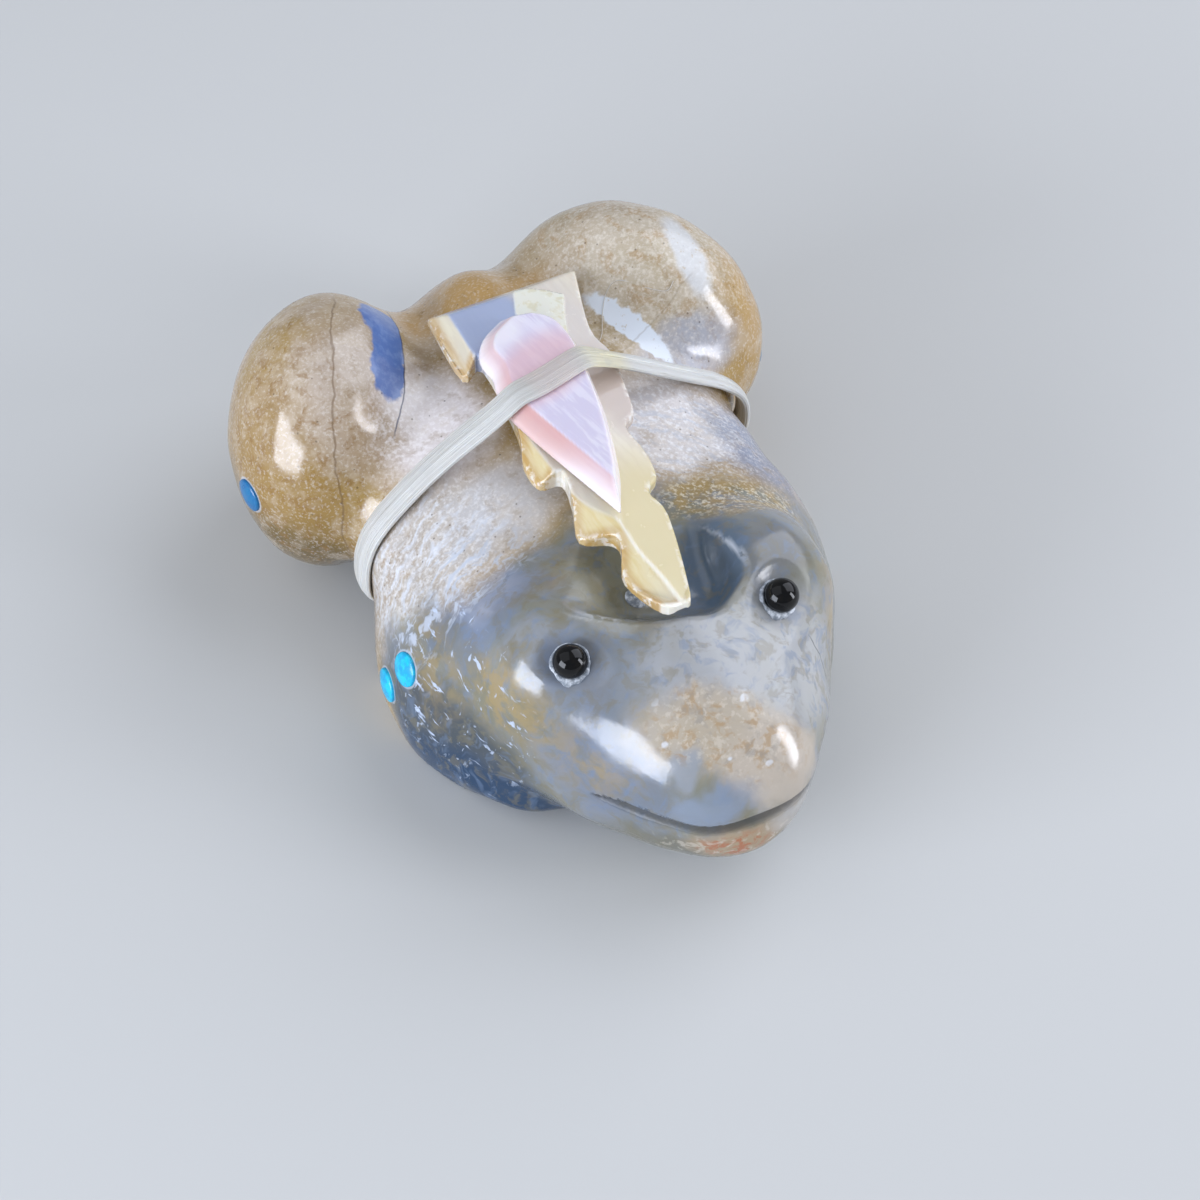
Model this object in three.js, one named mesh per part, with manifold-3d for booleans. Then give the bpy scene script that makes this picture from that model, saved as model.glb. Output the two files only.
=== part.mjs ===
// A carved stone frog with set eyes and inlays. It carries a bundle on its back: a gold-lip shell
// point with a pink shell point on it, tied down by a band of sinew round the waist.
// Millimetres, +Z up. The frog stands on z = 0 with its nose towards -Y.
import * as THREE from 'three';
import { mergeVertices } from 'three/addons/utils/BufferGeometryUtils.js';
import Module from 'manifold-3d';

const wasm = await Module();
wasm.setup();

// Stone: the swellings below are drawn at drawnLength, and the carving takes frogLength
const frogLength = 63.5;
const drawnLength = 63.5;
const stoneCell = 1.75;
const cellMargin = 0.05;
const waistAt = 1.2;
const sidesOfFrog = { right: -1, left: 1 };

// Fits between pieces, the length under which an edge left by a cut is closed up, and the sides
// of what is round
const restGap = 0.3;
const socketGap = 0.3;
const shortestEdge = 0.01;
const roundSides = 18;

// Eye beads: round jet beads glued in drilled sockets
const beadRadius = 1.42;
const beadShows = 1.5;
const eyeSocketDepth = 1.5;
const eyePlaces = { right: [-9.7, -23.2], left: [8.5, -24.1] };

// Turquoise inlays: low-domed discs let into each flank, as back-to-front and height. They sit
// lower on the left, where the photo's rim of the flank shows none
const inlayRadius = 1.5;
const inlayThickness = 1.3;
const inlayDome = 0.3;
const inlayShows = 0.45;
const inlayPlaces = {
  right: { shoulder_upper: [-10.9, 9.1], shoulder_lower: [-8.9, 5.0], thigh: [9.7, 12.0] },
  left: { shoulder_upper: [-5.0, 5.8], shoulder_lower: [-8.6, 3.6], thigh: [9.7, 8.3] },
};

// Mouth: a fine round-bottomed groove along the lips, which droops towards its corners
const mouthHeight = 11.4;
const mouthDroop = 1.3;
const mouthRadius = 0.5;
const mouthCorner = 55;
const mouthSteps = 22;

// Gold-lip point, from its straight base over chipped sides to the tip, drawn in plan. The top is
// drawn in towards an axis that runs from axisAtTip to axisAtBase across the plan
const goldPoint = {
  thickness: 2.1,
  edge: 0.8,
  axisAtBase: 0.7,
  axisAtTip: -0.7,
  topAtBase: 0.82,
  topAtTip: 0.25,
  plan: [
    [-6.2, 13.6], [7.7, 13.7], [5.9, 6.7], [6.5, 3.6], [6.0, 0.0], [5.3, -3.3], [3.9, -4.7],
    [4.3, -7.6], [4.0, -10.3], [2.6, -11.8], [3.1, -14.4], [1.2, -22.3], [0.2, -23.0],
    [-1.5, -22.8], [-3.0, -19.0], [-2.0, -16.2], [-2.3, -14.9], [-4.5, -13.6], [-3.6, -10.3],
    [-3.3, -7.6], [-5.1, -7.2], [-5.4, -4.7], [-4.5, -1.5], [-4.1, 6.6], [-6.1, 6.3],
  ],
};

// Pink point: a smaller leaf with a round base, on top of the gold-lip one
const pinkPoint = {
  thickness: 1.9,
  edge: 0.6,
  axisAtBase: -0.8,
  axisAtTip: -1.0,
  topAtBase: 0.72,
  topAtTip: 0.45,
  plan: [
    [-1.0, -14.0], [0.7, -10.1], [2.2, -4.3], [3.0, 1.2], [3.2, 4.3], [2.6, 6.8], [0.7, 8.5],
    [-1.5, 8.9], [-3.7, 7.5], [-4.8, 5.5], [-4.6, 3.4], [-4.9, 1.7], [-4.9, -1.6],
  ],
};
const plateEndBevel = 0.6;

// Sinew: a flat band in one turn round the waist and over the bundle
const sinewWidth = 2.3;
const sinewThickness = 0.7;
const sinewTurn = 3;
const sinewSides = 40;

// Stone swellings: centre, half-sizes and turn about the upright; a pair is given for the
// frog's left side, and blend is the width over which a swelling melts into the rest
const torso = { at: [0, 3.4, 10.4], half: [17.3, 20.9, 9.6] };
const head = { at: [0, -18.5, 8.8], half: [14.4, 16.0, 11.2], blend: 6 };
const snoutHalf = { at: [2.4, -26.1, 12.0], half: [6.3, 11.3, 7.0], blend: 3 };
const snoutBlend = 5;
const jaw = { at: [0, -26.0, 8.2], half: [7.4, 11.7, 5.7], blend: 3 };
const rump = { at: [0, 15.0, 11.0], half: [4.8, 8.0, 9.6], blend: 4 };
const shoulder = { at: [11.6, -9.6, 3.5], half: [8.5, 12.0, 11.7], blend: 5 };
const thighs = {
  right: { at: [15.5, 14.3, 11.2], half: [8.7, 11.6, 12.3], turn: 27, blend: 4 },
  left: { at: [13.9, 14.9, 11.2], half: [8.7, 12.2, 12.3], turn: 42, blend: 4 },
};
const brow = { at: [9.4, -19.2, 15.6], half: [5.2, 5.7, 5.2], blend: 5 };
const forefoot = { at: [12.0, -18.1, 2.4], half: [5.0, 6.4, 3.0], turn: -25, blend: 1 };
const bellyArch = { halfLength: 5.0, height: 6.4, blend: 1.5 };

// The scoop between the brows: the corners of its rim in plan, each with how far the wall that
// starts there leans in for each millimetre down, the height that they are drawn at, and the floor
const scoop = {
  corners: [
    [-6.9, -19.4, 1.0], [-3.4, -22.2, 0.8], [3.2, -24.2, 0.7], [6.8, -21.2, 0.55], [5.6, -13.6, 1.6],
    [-4.8, -12.6, 2.6],
  ],
  drawnAt: 20.4,
  floor: 17.2,
  cornerBlend: 0.9,
  floorBlend: 1.6,
  rimBlend: 0.5,
};
const stoneLow = [-28, -42, -12];
const stoneHigh = [28, 30, 26];

// Colours
const colours = {
  stone: '#a3957c', jet: '#08080a', turquoise: '#2fa9d6',
  goldLip: '#d9c48a', pinkShell: '#e6c3bd', sinew: '#cfc9b8',
};

const figureScale = frogLength / drawnLength;
const radians = THREE.MathUtils.degToRad;

// Signed distance, roughly, to one swelling; side -1 mirrors it to the frog's right
function toSwelling(x, y, z, swelling, side = 1) {
  const angle = radians(side * (swelling.turn ?? 0));
  const across = x - side * swelling.at[0];
  const along = y - swelling.at[1];
  const u = across * Math.cos(angle) + along * Math.sin(angle);
  const v = along * Math.cos(angle) - across * Math.sin(angle);
  const w = z - swelling.at[2];
  const [a, b, c] = swelling.half;
  const share = Math.hypot(u / a, v / b, w / c);
  const slope = Math.hypot(u / (a * a), v / (b * b), w / (c * c));
  return share * (share - 1) / Math.max(slope, 1e-9);
}

function joined(one, other, blend) {
  const overlap = Math.max(blend - Math.abs(one - other), 0) / blend;
  return Math.min(one, other) - overlap * overlap * blend / 4;
}

const cutAway = (stone, tool, blend) => -joined(-stone, tool, blend);

// A pit with a level floor and a leaning wall along each side of its rim
function toScoop(x, y, z) {
  const walls = scoop.corners.map(([ax, ay, lean], n) => {
    const [bx, by] = scoop.corners[(n + 1) % scoop.corners.length];
    const beyond = ((x - ax) * (by - ay) - (y - ay) * (bx - ax)) / Math.hypot(bx - ax, by - ay);
    return (beyond - (z - scoop.drawnAt) * lean) / Math.hypot(1, lean);
  });
  const nearest = walls.reduce((one, other) => cutAway(one, -other, scoop.cornerBlend));
  return cutAway(nearest, z - scoop.floor, scoop.floorBlend);
}

// The carving before its underside is ground flat
function toDrawnStone(x, y, z) {
  let stone = toSwelling(x, y, z, torso);
  const add = (swelling, side) => {
    stone = joined(stone, toSwelling(x, y, z, swelling, side), swelling.blend);
  };
  add(head);
  const snoutSides = [1, -1].map((side) => toSwelling(x, y, z, snoutHalf, side));
  stone = joined(stone, joined(...snoutSides, snoutHalf.blend), snoutBlend);
  add(jaw);
  add(rump);
  for (const [name, side] of Object.entries(sidesOfFrog)) {
    add(shoulder, side);
    add(thighs[name], side);
    add(brow, side);
  }
  stone = cutAway(stone, toScoop(x, y, z), scoop.rimBlend);
  for (const side of Object.values(sidesOfFrog)) add(forefoot, side);
  const intoArch = Math.hypot((y - waistAt) / bellyArch.halfLength, z / bellyArch.height);
  return cutAway(stone, (intoArch - 1) * bellyArch.height, bellyArch.blend);
}

const toStone = (x, y, z) =>
  figureScale * toDrawnStone(x / figureScale, y / figureScale, z / figureScale);

function slopeOfStone(point) {
  const step = 0.02;
  const difference = (dx, dy, dz) =>
    toStone(point.x + dx, point.y + dy, point.z + dz) - toStone(point.x - dx, point.y - dy, point.z - dz);
  const slope = new THREE.Vector3(difference(step, 0, 0), difference(0, step, 0), difference(0, 0, step));
  return slope.divideScalar(2 * step);
}

// Walks from outside along a direction until it meets the stone
function meetStone(start, direction) {
  const point = start.clone();
  for (let step = 0; step < 200; step++) {
    point.addScaledVector(direction, 0.7 * toStone(point.x, point.y, point.z));
  }
  return { point, normal: slopeOfStone(point).normalize() };
}

const onBack = (x, y) =>
  meetStone(new THREE.Vector3(x, y, frogLength), new THREE.Vector3(0, 0, -1));

const onFlank = (side, y, z) =>
  meetStone(new THREE.Vector3(side * frogLength, y, z), new THREE.Vector3(-side, 0, 0));

// Where the corners of a grid face are stone and air by turns, the stone corner nearest to the
// surface is taken as air, so that no edge of the skin is shared by four faces
function openSaddles(values, strides, grids) {
  const places = [...grids].map((grid) => grid.reduce((sum, value, axis) => sum + value * strides[axis], 0));
  const openOnce = () => {
    let opened = 0;
    for (const here of places) {
      for (let axis = 0; axis < 3; axis++) {
        const u = strides[(axis + 1) % 3];
        const v = strides[(axis + 2) % 3];
        const ring = [here, here + u, here + u + v, here + v];
        const [a, b, c, d] = ring.map((place) => values[place] < 0);
        if (a !== c || b !== d || a === b) continue;
        const stone = ring.filter((place) => values[place] < 0).sort((p, q) => values[q] - values[p]);
        values[stone[0]] = 1e-6;
        opened += 1;
      }
    }
    return opened;
  };
  while (openOnce() > 0);
}

// Faces of a closed skin where a distance field is zero: one corner in each cell that the
// surface crosses, moved onto the surface but kept inside its cell by cellMargin of its size, and
// one four-sided face over each crossed grid edge
function skin(distance, slope, low, high, cell) {
  const counts = low.map((value, axis) => Math.ceil((high[axis] - value) / cell) + 1);
  const strides = [1, counts[0], counts[0] * counts[1]];
  const place = (grid, axis) => low[axis] + grid[axis] * cell;
  const indexOf = (grid) => grid[0] + strides[1] * grid[1] + strides[2] * grid[2];
  const values = new Float64Array(strides[2] * counts[2]);
  const everyGrid = function* (margin) {
    for (let k = margin; k < counts[2] - margin; k++) {
      for (let j = margin; j < counts[1] - margin; j++) {
        for (let i = margin; i < counts[0] - margin; i++) yield [i, j, k];
      }
    }
  };
  for (const grid of everyGrid(0)) {
    values[indexOf(grid)] = distance(place(grid, 0), place(grid, 1), place(grid, 2));
  }
  openSaddles(values, strides, everyGrid(1));

  const corners = [];
  const cornerOf = new Map();
  for (const grid of everyGrid(1)) {
    const sum = new THREE.Vector3();
    let crossings = 0;
    for (let corner = 0; corner < 8; corner++) {
      const from = grid.map((value, axis) => value + (corner >> axis & 1));
      for (let axis = 0; axis < 3; axis++) {
        if (corner >> axis & 1) continue;
        const a = values[indexOf(from)];
        const b = values[indexOf(from) + strides[axis]];
        if (a < 0 === b < 0) continue;
        const point = from.map((value, other) => low[other] + value * cell);
        point[axis] += cell * a / (a - b);
        sum.add(new THREE.Vector3(...point));
        crossings += 1;
      }
    }
    if (!crossings) continue;
    const corner = sum.divideScalar(crossings);
    const cellLow = new THREE.Vector3(place(grid, 0), place(grid, 1), place(grid, 2));
    const cellHigh = cellLow.clone().addScalar((1 - cellMargin) * cell);
    cellLow.addScalar(cellMargin * cell);
    for (let step = 0; step < 4; step++) {
      const rise = slope(corner);
      const off = distance(corner.x, corner.y, corner.z);
      corner.addScaledVector(rise, -off / Math.max(rise.lengthSq(), 0.1)).clamp(cellLow, cellHigh);
    }
    cornerOf.set(indexOf(grid), corners.length);
    corners.push(corner);
  }

  const faces = [];
  for (const grid of everyGrid(1)) {
    for (let axis = 0; axis < 3; axis++) {
      const here = indexOf(grid);
      const inside = values[here] < 0;
      if (inside === values[here + strides[axis]] < 0) continue;
      const u = strides[(axis + 1) % 3];
      const v = strides[(axis + 2) % 3];
      const ring = [here - u - v, here - v, here, here - u].map((cellIndex) => cornerOf.get(cellIndex));
      if (!inside) ring.reverse();
      const [a, b, c, d] = ring;
      const shortWay = corners[a].distanceTo(corners[c]) < corners[b].distanceTo(corners[d]);
      faces.push(...(shortWay ? [a, b, c, a, c, d] : [b, c, d, b, d, a]));
    }
  }
  return geometryFrom(corners.flatMap((corner) => corner.toArray()), faces);
}

function geometryFrom(positions, faces) {
  const geometry = new THREE.BufferGeometry();
  geometry.setAttribute('position', new THREE.Float32BufferAttribute(positions, 3));
  geometry.setIndex([...faces]);
  return geometry;
}

// Between drawn geometry and solids that can be cut
function solidOf(geometry) {
  const bare = geometry.clone();
  bare.deleteAttribute('normal');
  bare.deleteAttribute('uv');
  const merged = mergeVertices(bare);
  const faces = [];
  for (let f = 0; f < merged.index.count; f += 3) {
    const [a, b, c] = [0, 1, 2].map((n) => merged.index.getX(f + n));
    if (a !== b && b !== c && c !== a) faces.push(a, b, c);
  }
  return new wasm.Manifold(new wasm.Mesh({
    numProp: 3,
    vertProperties: merged.attributes.position.array,
    triVerts: new Uint32Array(faces),
    tolerance: shortestEdge,
  }));
}

function geometryOf(solid) {
  const mesh = solid.getMesh();
  return geometryFrom(Array.from(mesh.vertProperties), mesh.triVerts);
}

// Stands a shape drawn about the origin on the stone at a seat, square to the surface there
function seated(geometry, seat) {
  const turn = new THREE.Quaternion().setFromUnitVectors(new THREE.Vector3(0, 0, 1), seat.normal);
  const place = new THREE.Matrix4().compose(seat.point, turn, new THREE.Vector3(1, 1, 1));
  return geometry.clone().applyMatrix4(place);
}

// A turned shape about +Z from a profile of radius and height, from the foot up to the axis
function turned(profile, segments) {
  const lathe = new THREE.LatheGeometry(profile.map(([r, h]) => new THREE.Vector2(r, h)), segments);
  return lathe.rotateX(Math.PI / 2);
}

// A ball with a flat foot, whose crown stands beadShows above the stone
function eyeBead() {
  const footAngle = -50;
  const crownAngle = 90;
  const rings = 7;
  const profile = [[0, beadRadius * Math.sin(radians(footAngle))]];
  for (let ring = 0; ring < rings; ring++) {
    const angle = radians(THREE.MathUtils.mapLinear(ring, 0, rings, footAngle, crownAngle));
    profile.push([beadRadius * Math.cos(angle), beadRadius * Math.sin(angle)]);
  }
  profile.push([0, beadRadius]);
  return turned(profile, roundSides).translate(0, 0, beadShows - beadRadius);
}

function inlayDisc() {
  const edge = inlayShows - inlayDome;
  const foot = inlayShows - inlayThickness;
  const profile = [
    [0, foot], [inlayRadius, foot], [inlayRadius, edge],
    [0.6 * inlayRadius, edge + 0.7 * inlayDome], [0, inlayShows],
  ];
  return turned(profile, roundSides);
}

// A round hole from well above the stone down to a depth below it
function drill(radius, depth) {
  const above = 2 * radius;
  const hole = new THREE.CylinderGeometry(radius, radius, depth + above, roundSides).rotateX(Math.PI / 2);
  return hole.translate(0, 0, (above - depth) / 2);
}

// A round bar along the lips, from one corner of the mouth round the nose to the other
function mouthBar() {
  const middle = head.at[1] * figureScale;
  const points = [];
  for (let step = 0; step <= mouthSteps; step++) {
    const share = 2 * step / mouthSteps - 1;
    const angle = radians(mouthCorner * share);
    const height = (mouthHeight - mouthDroop * share * share) * figureScale;
    const away = new THREE.Vector3(Math.sin(angle), -Math.cos(angle), 0);
    const start = new THREE.Vector3(0, middle, height).addScaledVector(away, frogLength);
    points.push(meetStone(start, away.clone().negate()).point);
  }
  const circle = new THREE.Shape().absarc(0, 0, mouthRadius, 0, 2 * Math.PI);
  return new THREE.ExtrudeGeometry(circle, {
    steps: mouthSteps, curveSegments: 4, bevelEnabled: false, extrudePath: new THREE.CatmullRomCurve3(points),
  });
}

function carveFrog() {
  const low = stoneLow.map((value) => value * figureScale);
  const high = stoneHigh.map((value) => value * figureScale);
  let frog = solidOf(skin(toStone, slopeOfStone, low, high, stoneCell));
  const ground = new THREE.BoxGeometry(3 * frogLength, 3 * frogLength, frogLength);
  frog = frog.subtract(solidOf(ground.translate(0, 0, -frogLength / 2)));
  frog = frog.subtract(solidOf(mouthBar()));
  for (const seat of Object.values(eyeSeats)) {
    frog = frog.subtract(solidOf(seated(drill(beadRadius + socketGap, eyeSocketDepth), seat)));
  }
  const pocketDepth = inlayThickness - inlayShows + socketGap;
  for (const seat of Object.values(inlaySeats)) {
    frog = frog.subtract(solidOf(seated(drill(inlayRadius + socketGap, pocketDepth), seat)));
  }
  return geometryOf(frog);
}

// A shell plate with a flat underside, an upright edge and a top drawn in towards its long axis
function bevelledPlate({ plan, thickness, edge, axisAtBase, axisAtTip, topAtBase, topAtTip }) {
  const turnsLeft = !THREE.ShapeUtils.isClockWise(plan.map(([x, y]) => new THREE.Vector2(x, y)));
  const outline = turnsLeft ? plan : [...plan].reverse();
  const ends = [Math.min(...plan.map(([, y]) => y)), Math.max(...plan.map(([, y]) => y))];
  const middle = (ends[0] + ends[1]) / 2;
  const lengthwise = 1 - 2 * plateEndBevel / (ends[1] - ends[0]);
  const drawnIn = ([x, y]) => {
    const axis = THREE.MathUtils.mapLinear(y, ...ends, axisAtTip, axisAtBase);
    const share = THREE.MathUtils.mapLinear(y, ...ends, topAtTip, topAtBase);
    return [axis + (x - axis) * share, middle + (y - middle) * lengthwise];
  };
  const rings = [
    outline.map(([x, y]) => [x, y, 0]),
    outline.map(([x, y]) => [x, y, edge]),
    outline.map((point) => [...drawnIn(point), thickness]),
  ];
  const count = outline.length;
  const faces = [];
  for (let ring = 0; ring < rings.length - 1; ring++) {
    for (let n = 0; n < count; n++) {
      const a = ring * count + n;
      const b = ring * count + (n + 1) % count;
      faces.push(a, b, b + count, a, b + count, a + count);
    }
  }
  const flat = (ring) => ring.map(([x, y]) => new THREE.Vector2(x, y));
  const last = count * (rings.length - 1);
  for (const [a, b, c] of THREE.ShapeUtils.triangulateShape(flat(rings[0]), [])) faces.push(c, b, a);
  for (const [a, b, c] of THREE.ShapeUtils.triangulateShape(flat(rings[2]), [])) {
    faces.push(last + a, last + b, last + c);
  }
  return geometryFrom(rings.flat(2), faces);
}

// The height at which a flat plate lies on the back without touching it
function restingHeight(plan) {
  const heights = [];
  plan.forEach(([x, y], n) => {
    const [nextX, nextY] = plan[(n + 1) % plan.length];
    heights.push(onBack(x, y).point.z);
    heights.push(onBack((x + nextX) / 2, (y + nextY) / 2).point.z);
    heights.push(onBack(x / 2, y).point.z);
    heights.push(onBack(0, y).point.z);
  });
  return Math.max(...heights) + restGap;
}

// The band's inner line in its own plane: straight from one high spot to the next round
// everything it holds. The pieces are sounded by rays from outside at the band's edges and middle
function sinewBand(pieces) {
  const plane = new THREE.Matrix4().makeRotationZ(radians(sinewTurn));
  plane.setPosition(0, waistAt * figureScale, 0);
  const centre = new THREE.Vector3(0, 0, frogLength / 6);
  const caster = new THREE.Raycaster();
  const held = [];
  for (const offset of [-0.5, 0, 0.5]) {
    for (let degrees = 0; degrees < 360; degrees += 4) {
      const inward = new THREE.Vector3(-Math.cos(radians(degrees)), 0, -Math.sin(radians(degrees)));
      const start = centre.clone().addScaledVector(inward, -frogLength);
      start.y = offset * sinewWidth;
      caster.set(start.clone().applyMatrix4(plane), inward.clone().transformDirection(plane));
      const hits = caster.intersectObjects(pieces);
      if (hits.length) held.push(start.addScaledVector(inward, hits[0].distance));
    }
  }
  const lineAround = (clearance) => {
    const support = [];
    for (let side = 0; side < sinewSides; side++) {
      const angle = 2 * Math.PI * side / sinewSides;
      const out = new THREE.Vector2(Math.cos(angle), Math.sin(angle));
      const reach = Math.max(...held.map((point) => point.x * out.x + point.z * out.y));
      support.push({ out, reach: reach + clearance });
    }
    return support.map((one, side) => {
      const next = support[(side + 1) % sinewSides];
      const turn = one.out.x * next.out.y - one.out.y * next.out.x;
      const x = (one.reach * next.out.y - next.reach * one.out.y) / turn;
      const z = (next.reach * one.out.x - one.reach * next.out.x) / turn;
      return new THREE.Vector2(x, z);
    });
  };
  const section = new THREE.Shape(lineAround(restGap + sinewThickness));
  section.holes.push(new THREE.Path(lineAround(restGap)));
  const band = new THREE.ExtrudeGeometry(section, { depth: sinewWidth, bevelEnabled: false });
  band.translate(0, 0, -sinewWidth / 2).rotateX(Math.PI / 2);
  return band.applyMatrix4(plane);
}

const eyeSeats = {};
const inlaySeats = {};
for (const [name, side] of Object.entries(sidesOfFrog)) {
  const [x, y] = eyePlaces[name];
  eyeSeats[name] = onBack(x * figureScale, y * figureScale);
  for (const [where, [back, height]] of Object.entries(inlayPlaces[name])) {
    inlaySeats[`${name}_${where}`] = onFlank(side, back * figureScale, height * figureScale);
  }
}

function piece(name, geometry, color, roughness) {
  const mesh = new THREE.Mesh(geometry, new THREE.MeshStandardMaterial({ color, roughness, metalness: 0 }));
  mesh.name = name;
  return mesh;
}

const fetish = new THREE.Group();
const frog = piece('frog_body', carveFrog(), colours.stone, 0.25);
fetish.add(frog);

for (const [name, seat] of Object.entries(eyeSeats)) {
  fetish.add(piece(`${name}_eye_bead`, seated(eyeBead(), seat), colours.jet, 0.1));
}
for (const [name, seat] of Object.entries(inlaySeats)) {
  fetish.add(piece(`${name}_inlay`, seated(inlayDisc(), seat), colours.turquoise, 0.3));
}

const gold = piece('gold_lip_point', bevelledPlate(goldPoint), colours.goldLip, 0.25);
gold.position.z = restingHeight(goldPoint.plan);
const pink = piece('pink_shell_point', bevelledPlate(pinkPoint), colours.pinkShell, 0.25);
pink.position.z = gold.position.z + goldPoint.thickness + restGap;
fetish.add(gold, pink);

fetish.updateMatrixWorld(true);
fetish.add(piece('sinew_tie', sinewBand([frog, gold, pink]), colours.sinew, 0.6));

// The origin is the middle of the footprint, on the ground
const outer = new THREE.Box3().setFromObject(fetish);
fetish.position.set(-(outer.min.x + outer.max.x) / 2, -(outer.min.y + outer.max.y) / 2, 0);

export default fetish;
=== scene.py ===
import math

import bpy
import numpy as np
from mathutils import Matrix, Vector


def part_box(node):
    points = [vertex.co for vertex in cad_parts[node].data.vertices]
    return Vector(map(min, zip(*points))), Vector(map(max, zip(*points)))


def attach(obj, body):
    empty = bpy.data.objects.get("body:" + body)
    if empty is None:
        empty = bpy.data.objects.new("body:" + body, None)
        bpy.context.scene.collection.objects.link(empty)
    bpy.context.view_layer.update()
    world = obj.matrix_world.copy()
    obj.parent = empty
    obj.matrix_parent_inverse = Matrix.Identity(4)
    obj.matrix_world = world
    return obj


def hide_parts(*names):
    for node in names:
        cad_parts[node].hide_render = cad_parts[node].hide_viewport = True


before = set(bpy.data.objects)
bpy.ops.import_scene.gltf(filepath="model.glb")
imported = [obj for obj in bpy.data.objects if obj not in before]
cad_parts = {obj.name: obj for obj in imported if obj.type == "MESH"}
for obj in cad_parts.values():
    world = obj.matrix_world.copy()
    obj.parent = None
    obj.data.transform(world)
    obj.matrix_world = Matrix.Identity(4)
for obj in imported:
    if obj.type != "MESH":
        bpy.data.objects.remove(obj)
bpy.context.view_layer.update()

millimetre = 0.001
sides_of_frog = {"right": -1, "left": 1}

# Stone swellings, as in the part: centre, half-sizes, turn about the upright, and the width over
# which a swelling melts into the rest. A pair is given for the frog's left side
torso = {"at": (0, 3.4, 10.4), "half": (17.3, 20.9, 9.6)}
head = {"at": (0, -18.5, 8.8), "half": (14.4, 16.0, 11.2), "blend": 6}
snout_half = {"at": (2.4, -26.1, 12.0), "half": (6.3, 11.3, 7.0), "blend": 3}
snout_blend = 5
jaw = {"at": (0, -26.0, 8.2), "half": (7.4, 11.7, 5.7), "blend": 3}
rump = {"at": (0, 15.0, 11.0), "half": (4.8, 8.0, 9.6), "blend": 4}
shoulder = {"at": (11.6, -9.6, 3.5), "half": (8.5, 12.0, 11.7), "blend": 5}
thighs = {
    "right": {"at": (15.5, 14.3, 11.2), "half": (8.7, 11.6, 12.3), "turn": 27, "blend": 4},
    "left": {"at": (13.9, 14.9, 11.2), "half": (8.7, 12.2, 12.3), "turn": 42, "blend": 4},
}
brow = {"at": (9.4, -19.2, 15.6), "half": (5.2, 5.7, 5.2), "blend": 5}
forefoot = {"at": (12.0, -18.1, 2.4), "half": (5.0, 6.4, 3.0), "turn": -25, "blend": 1}
# The scoop between the brows: the corners of its rim in plan, each with how far the wall that
# starts there leans in for each millimetre down, the height that they are drawn at, and the floor
scoop_corners = [
    (-6.9, -19.4, 1.0), (-3.4, -22.2, 0.8), (3.2, -24.2, 0.7), (6.8, -21.2, 0.55), (5.6, -13.6, 1.6),
    (-4.8, -12.6, 2.6),
]
scoop_drawn_at = 20.4
scoop_floor = 17.2
scoop_corner_blend = 0.9
scoop_floor_blend = 1.6
scoop_rim = 0.35
waist_at = 1.2
belly_arch = {"half_length": 5.0, "height": 6.4, "blend": 1.5}
ground_blend = 0.3
stone_low = (-28, -42, -2)
stone_high = (28, 30, 26)
stone_cell = 0.38
well_outside = 60

# The mouth: a groove along the lips that droops and fades towards its corners, with the lower
# lip set back under the upper one
mouth_height = 11.4
mouth_droop = 1.3
mouth_middle = (0, -18.5)
mouth_corner = 55
mouth_fade = 22
mouth_radius = 0.6
mouth_inset = 0.15
mouth_blend = 0.4
# How far into the groove its painted shade reaches
mouth_shade_reach = 0.25
lip_setback = 0.3
lip_height = 1.2

# Eyes: a jet bead in a shallow dish, with glue squeezed out round it
bead_radius = 1.42
bead_shows = 1.5
bead_foot_angle = -50
bead_rings = 22
eye_places = {"right": (-9.7, -23.2), "left": (8.5, -24.1)}
eye_dish_radius = 2.8
eye_dish_depth = 0.34
eye_dish_above = 0.7
eye_dish_rim = 0.2
shaded_socket = 2.0
glue_width = 0.11
glue_fullest = 0.34
glue_fullest_towards = (-0.5, -1.0, 0.0)

# Lumps round a ring of glue: height as a share of its radius, how many, and where they start
glue_lumps = [(0.25, 3, 1), (0.18, 5, 0), (0.10, 11, 0)]

# A flake of the same glue beside the tip of the gold-lip point, as radius and height
glue_flake = [(0.9, -0.25), (0.95, 0.15), (0.8, 0.32), (0.45, 0.42), (0, 0.45)]
glue_flake_place = (-1.9, -18.8)

# The scoop's rim is painted with a pale glint in two places, a painted highlight: their centres and
# half-size, how far from the rim the glint reaches, and how it fades there
rim_glints = [(-4.6, -21.8, 20.6), (8.6, -17.6, 20)]
rim_glint_half = 3.2
rim_glint_reach = 0.28
rim_glint_fade = 0.2

# Hand finish: the polished skin strays from true by this much, over about this length
hand_wobble = 0.05
hand_length = 7.0

# Turquoise inlays
inlay_radius = 1.5
inlay_dome = 0.3
inlay_shows = 0.45
inlay_thickness = 1.3
inlay_edge_round = 0.1
inlay_crown_share = 0.97
inlay_steps = 8
bruised_ring = 0.18
# Their places, as back-to-front and height. They sit lower on the left, where the photo's rim of
# the flank shows none
inlay_places = {
    "right": {"shoulder_upper": (-10.9, 9.1), "shoulder_lower": (-8.9, 5.0), "thigh": (9.7, 12.0)},
    "left": {"shoulder_upper": (-5.0, 5.8), "shoulder_lower": (-8.6, 3.6), "thigh": (9.7, 8.3)},
}

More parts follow.
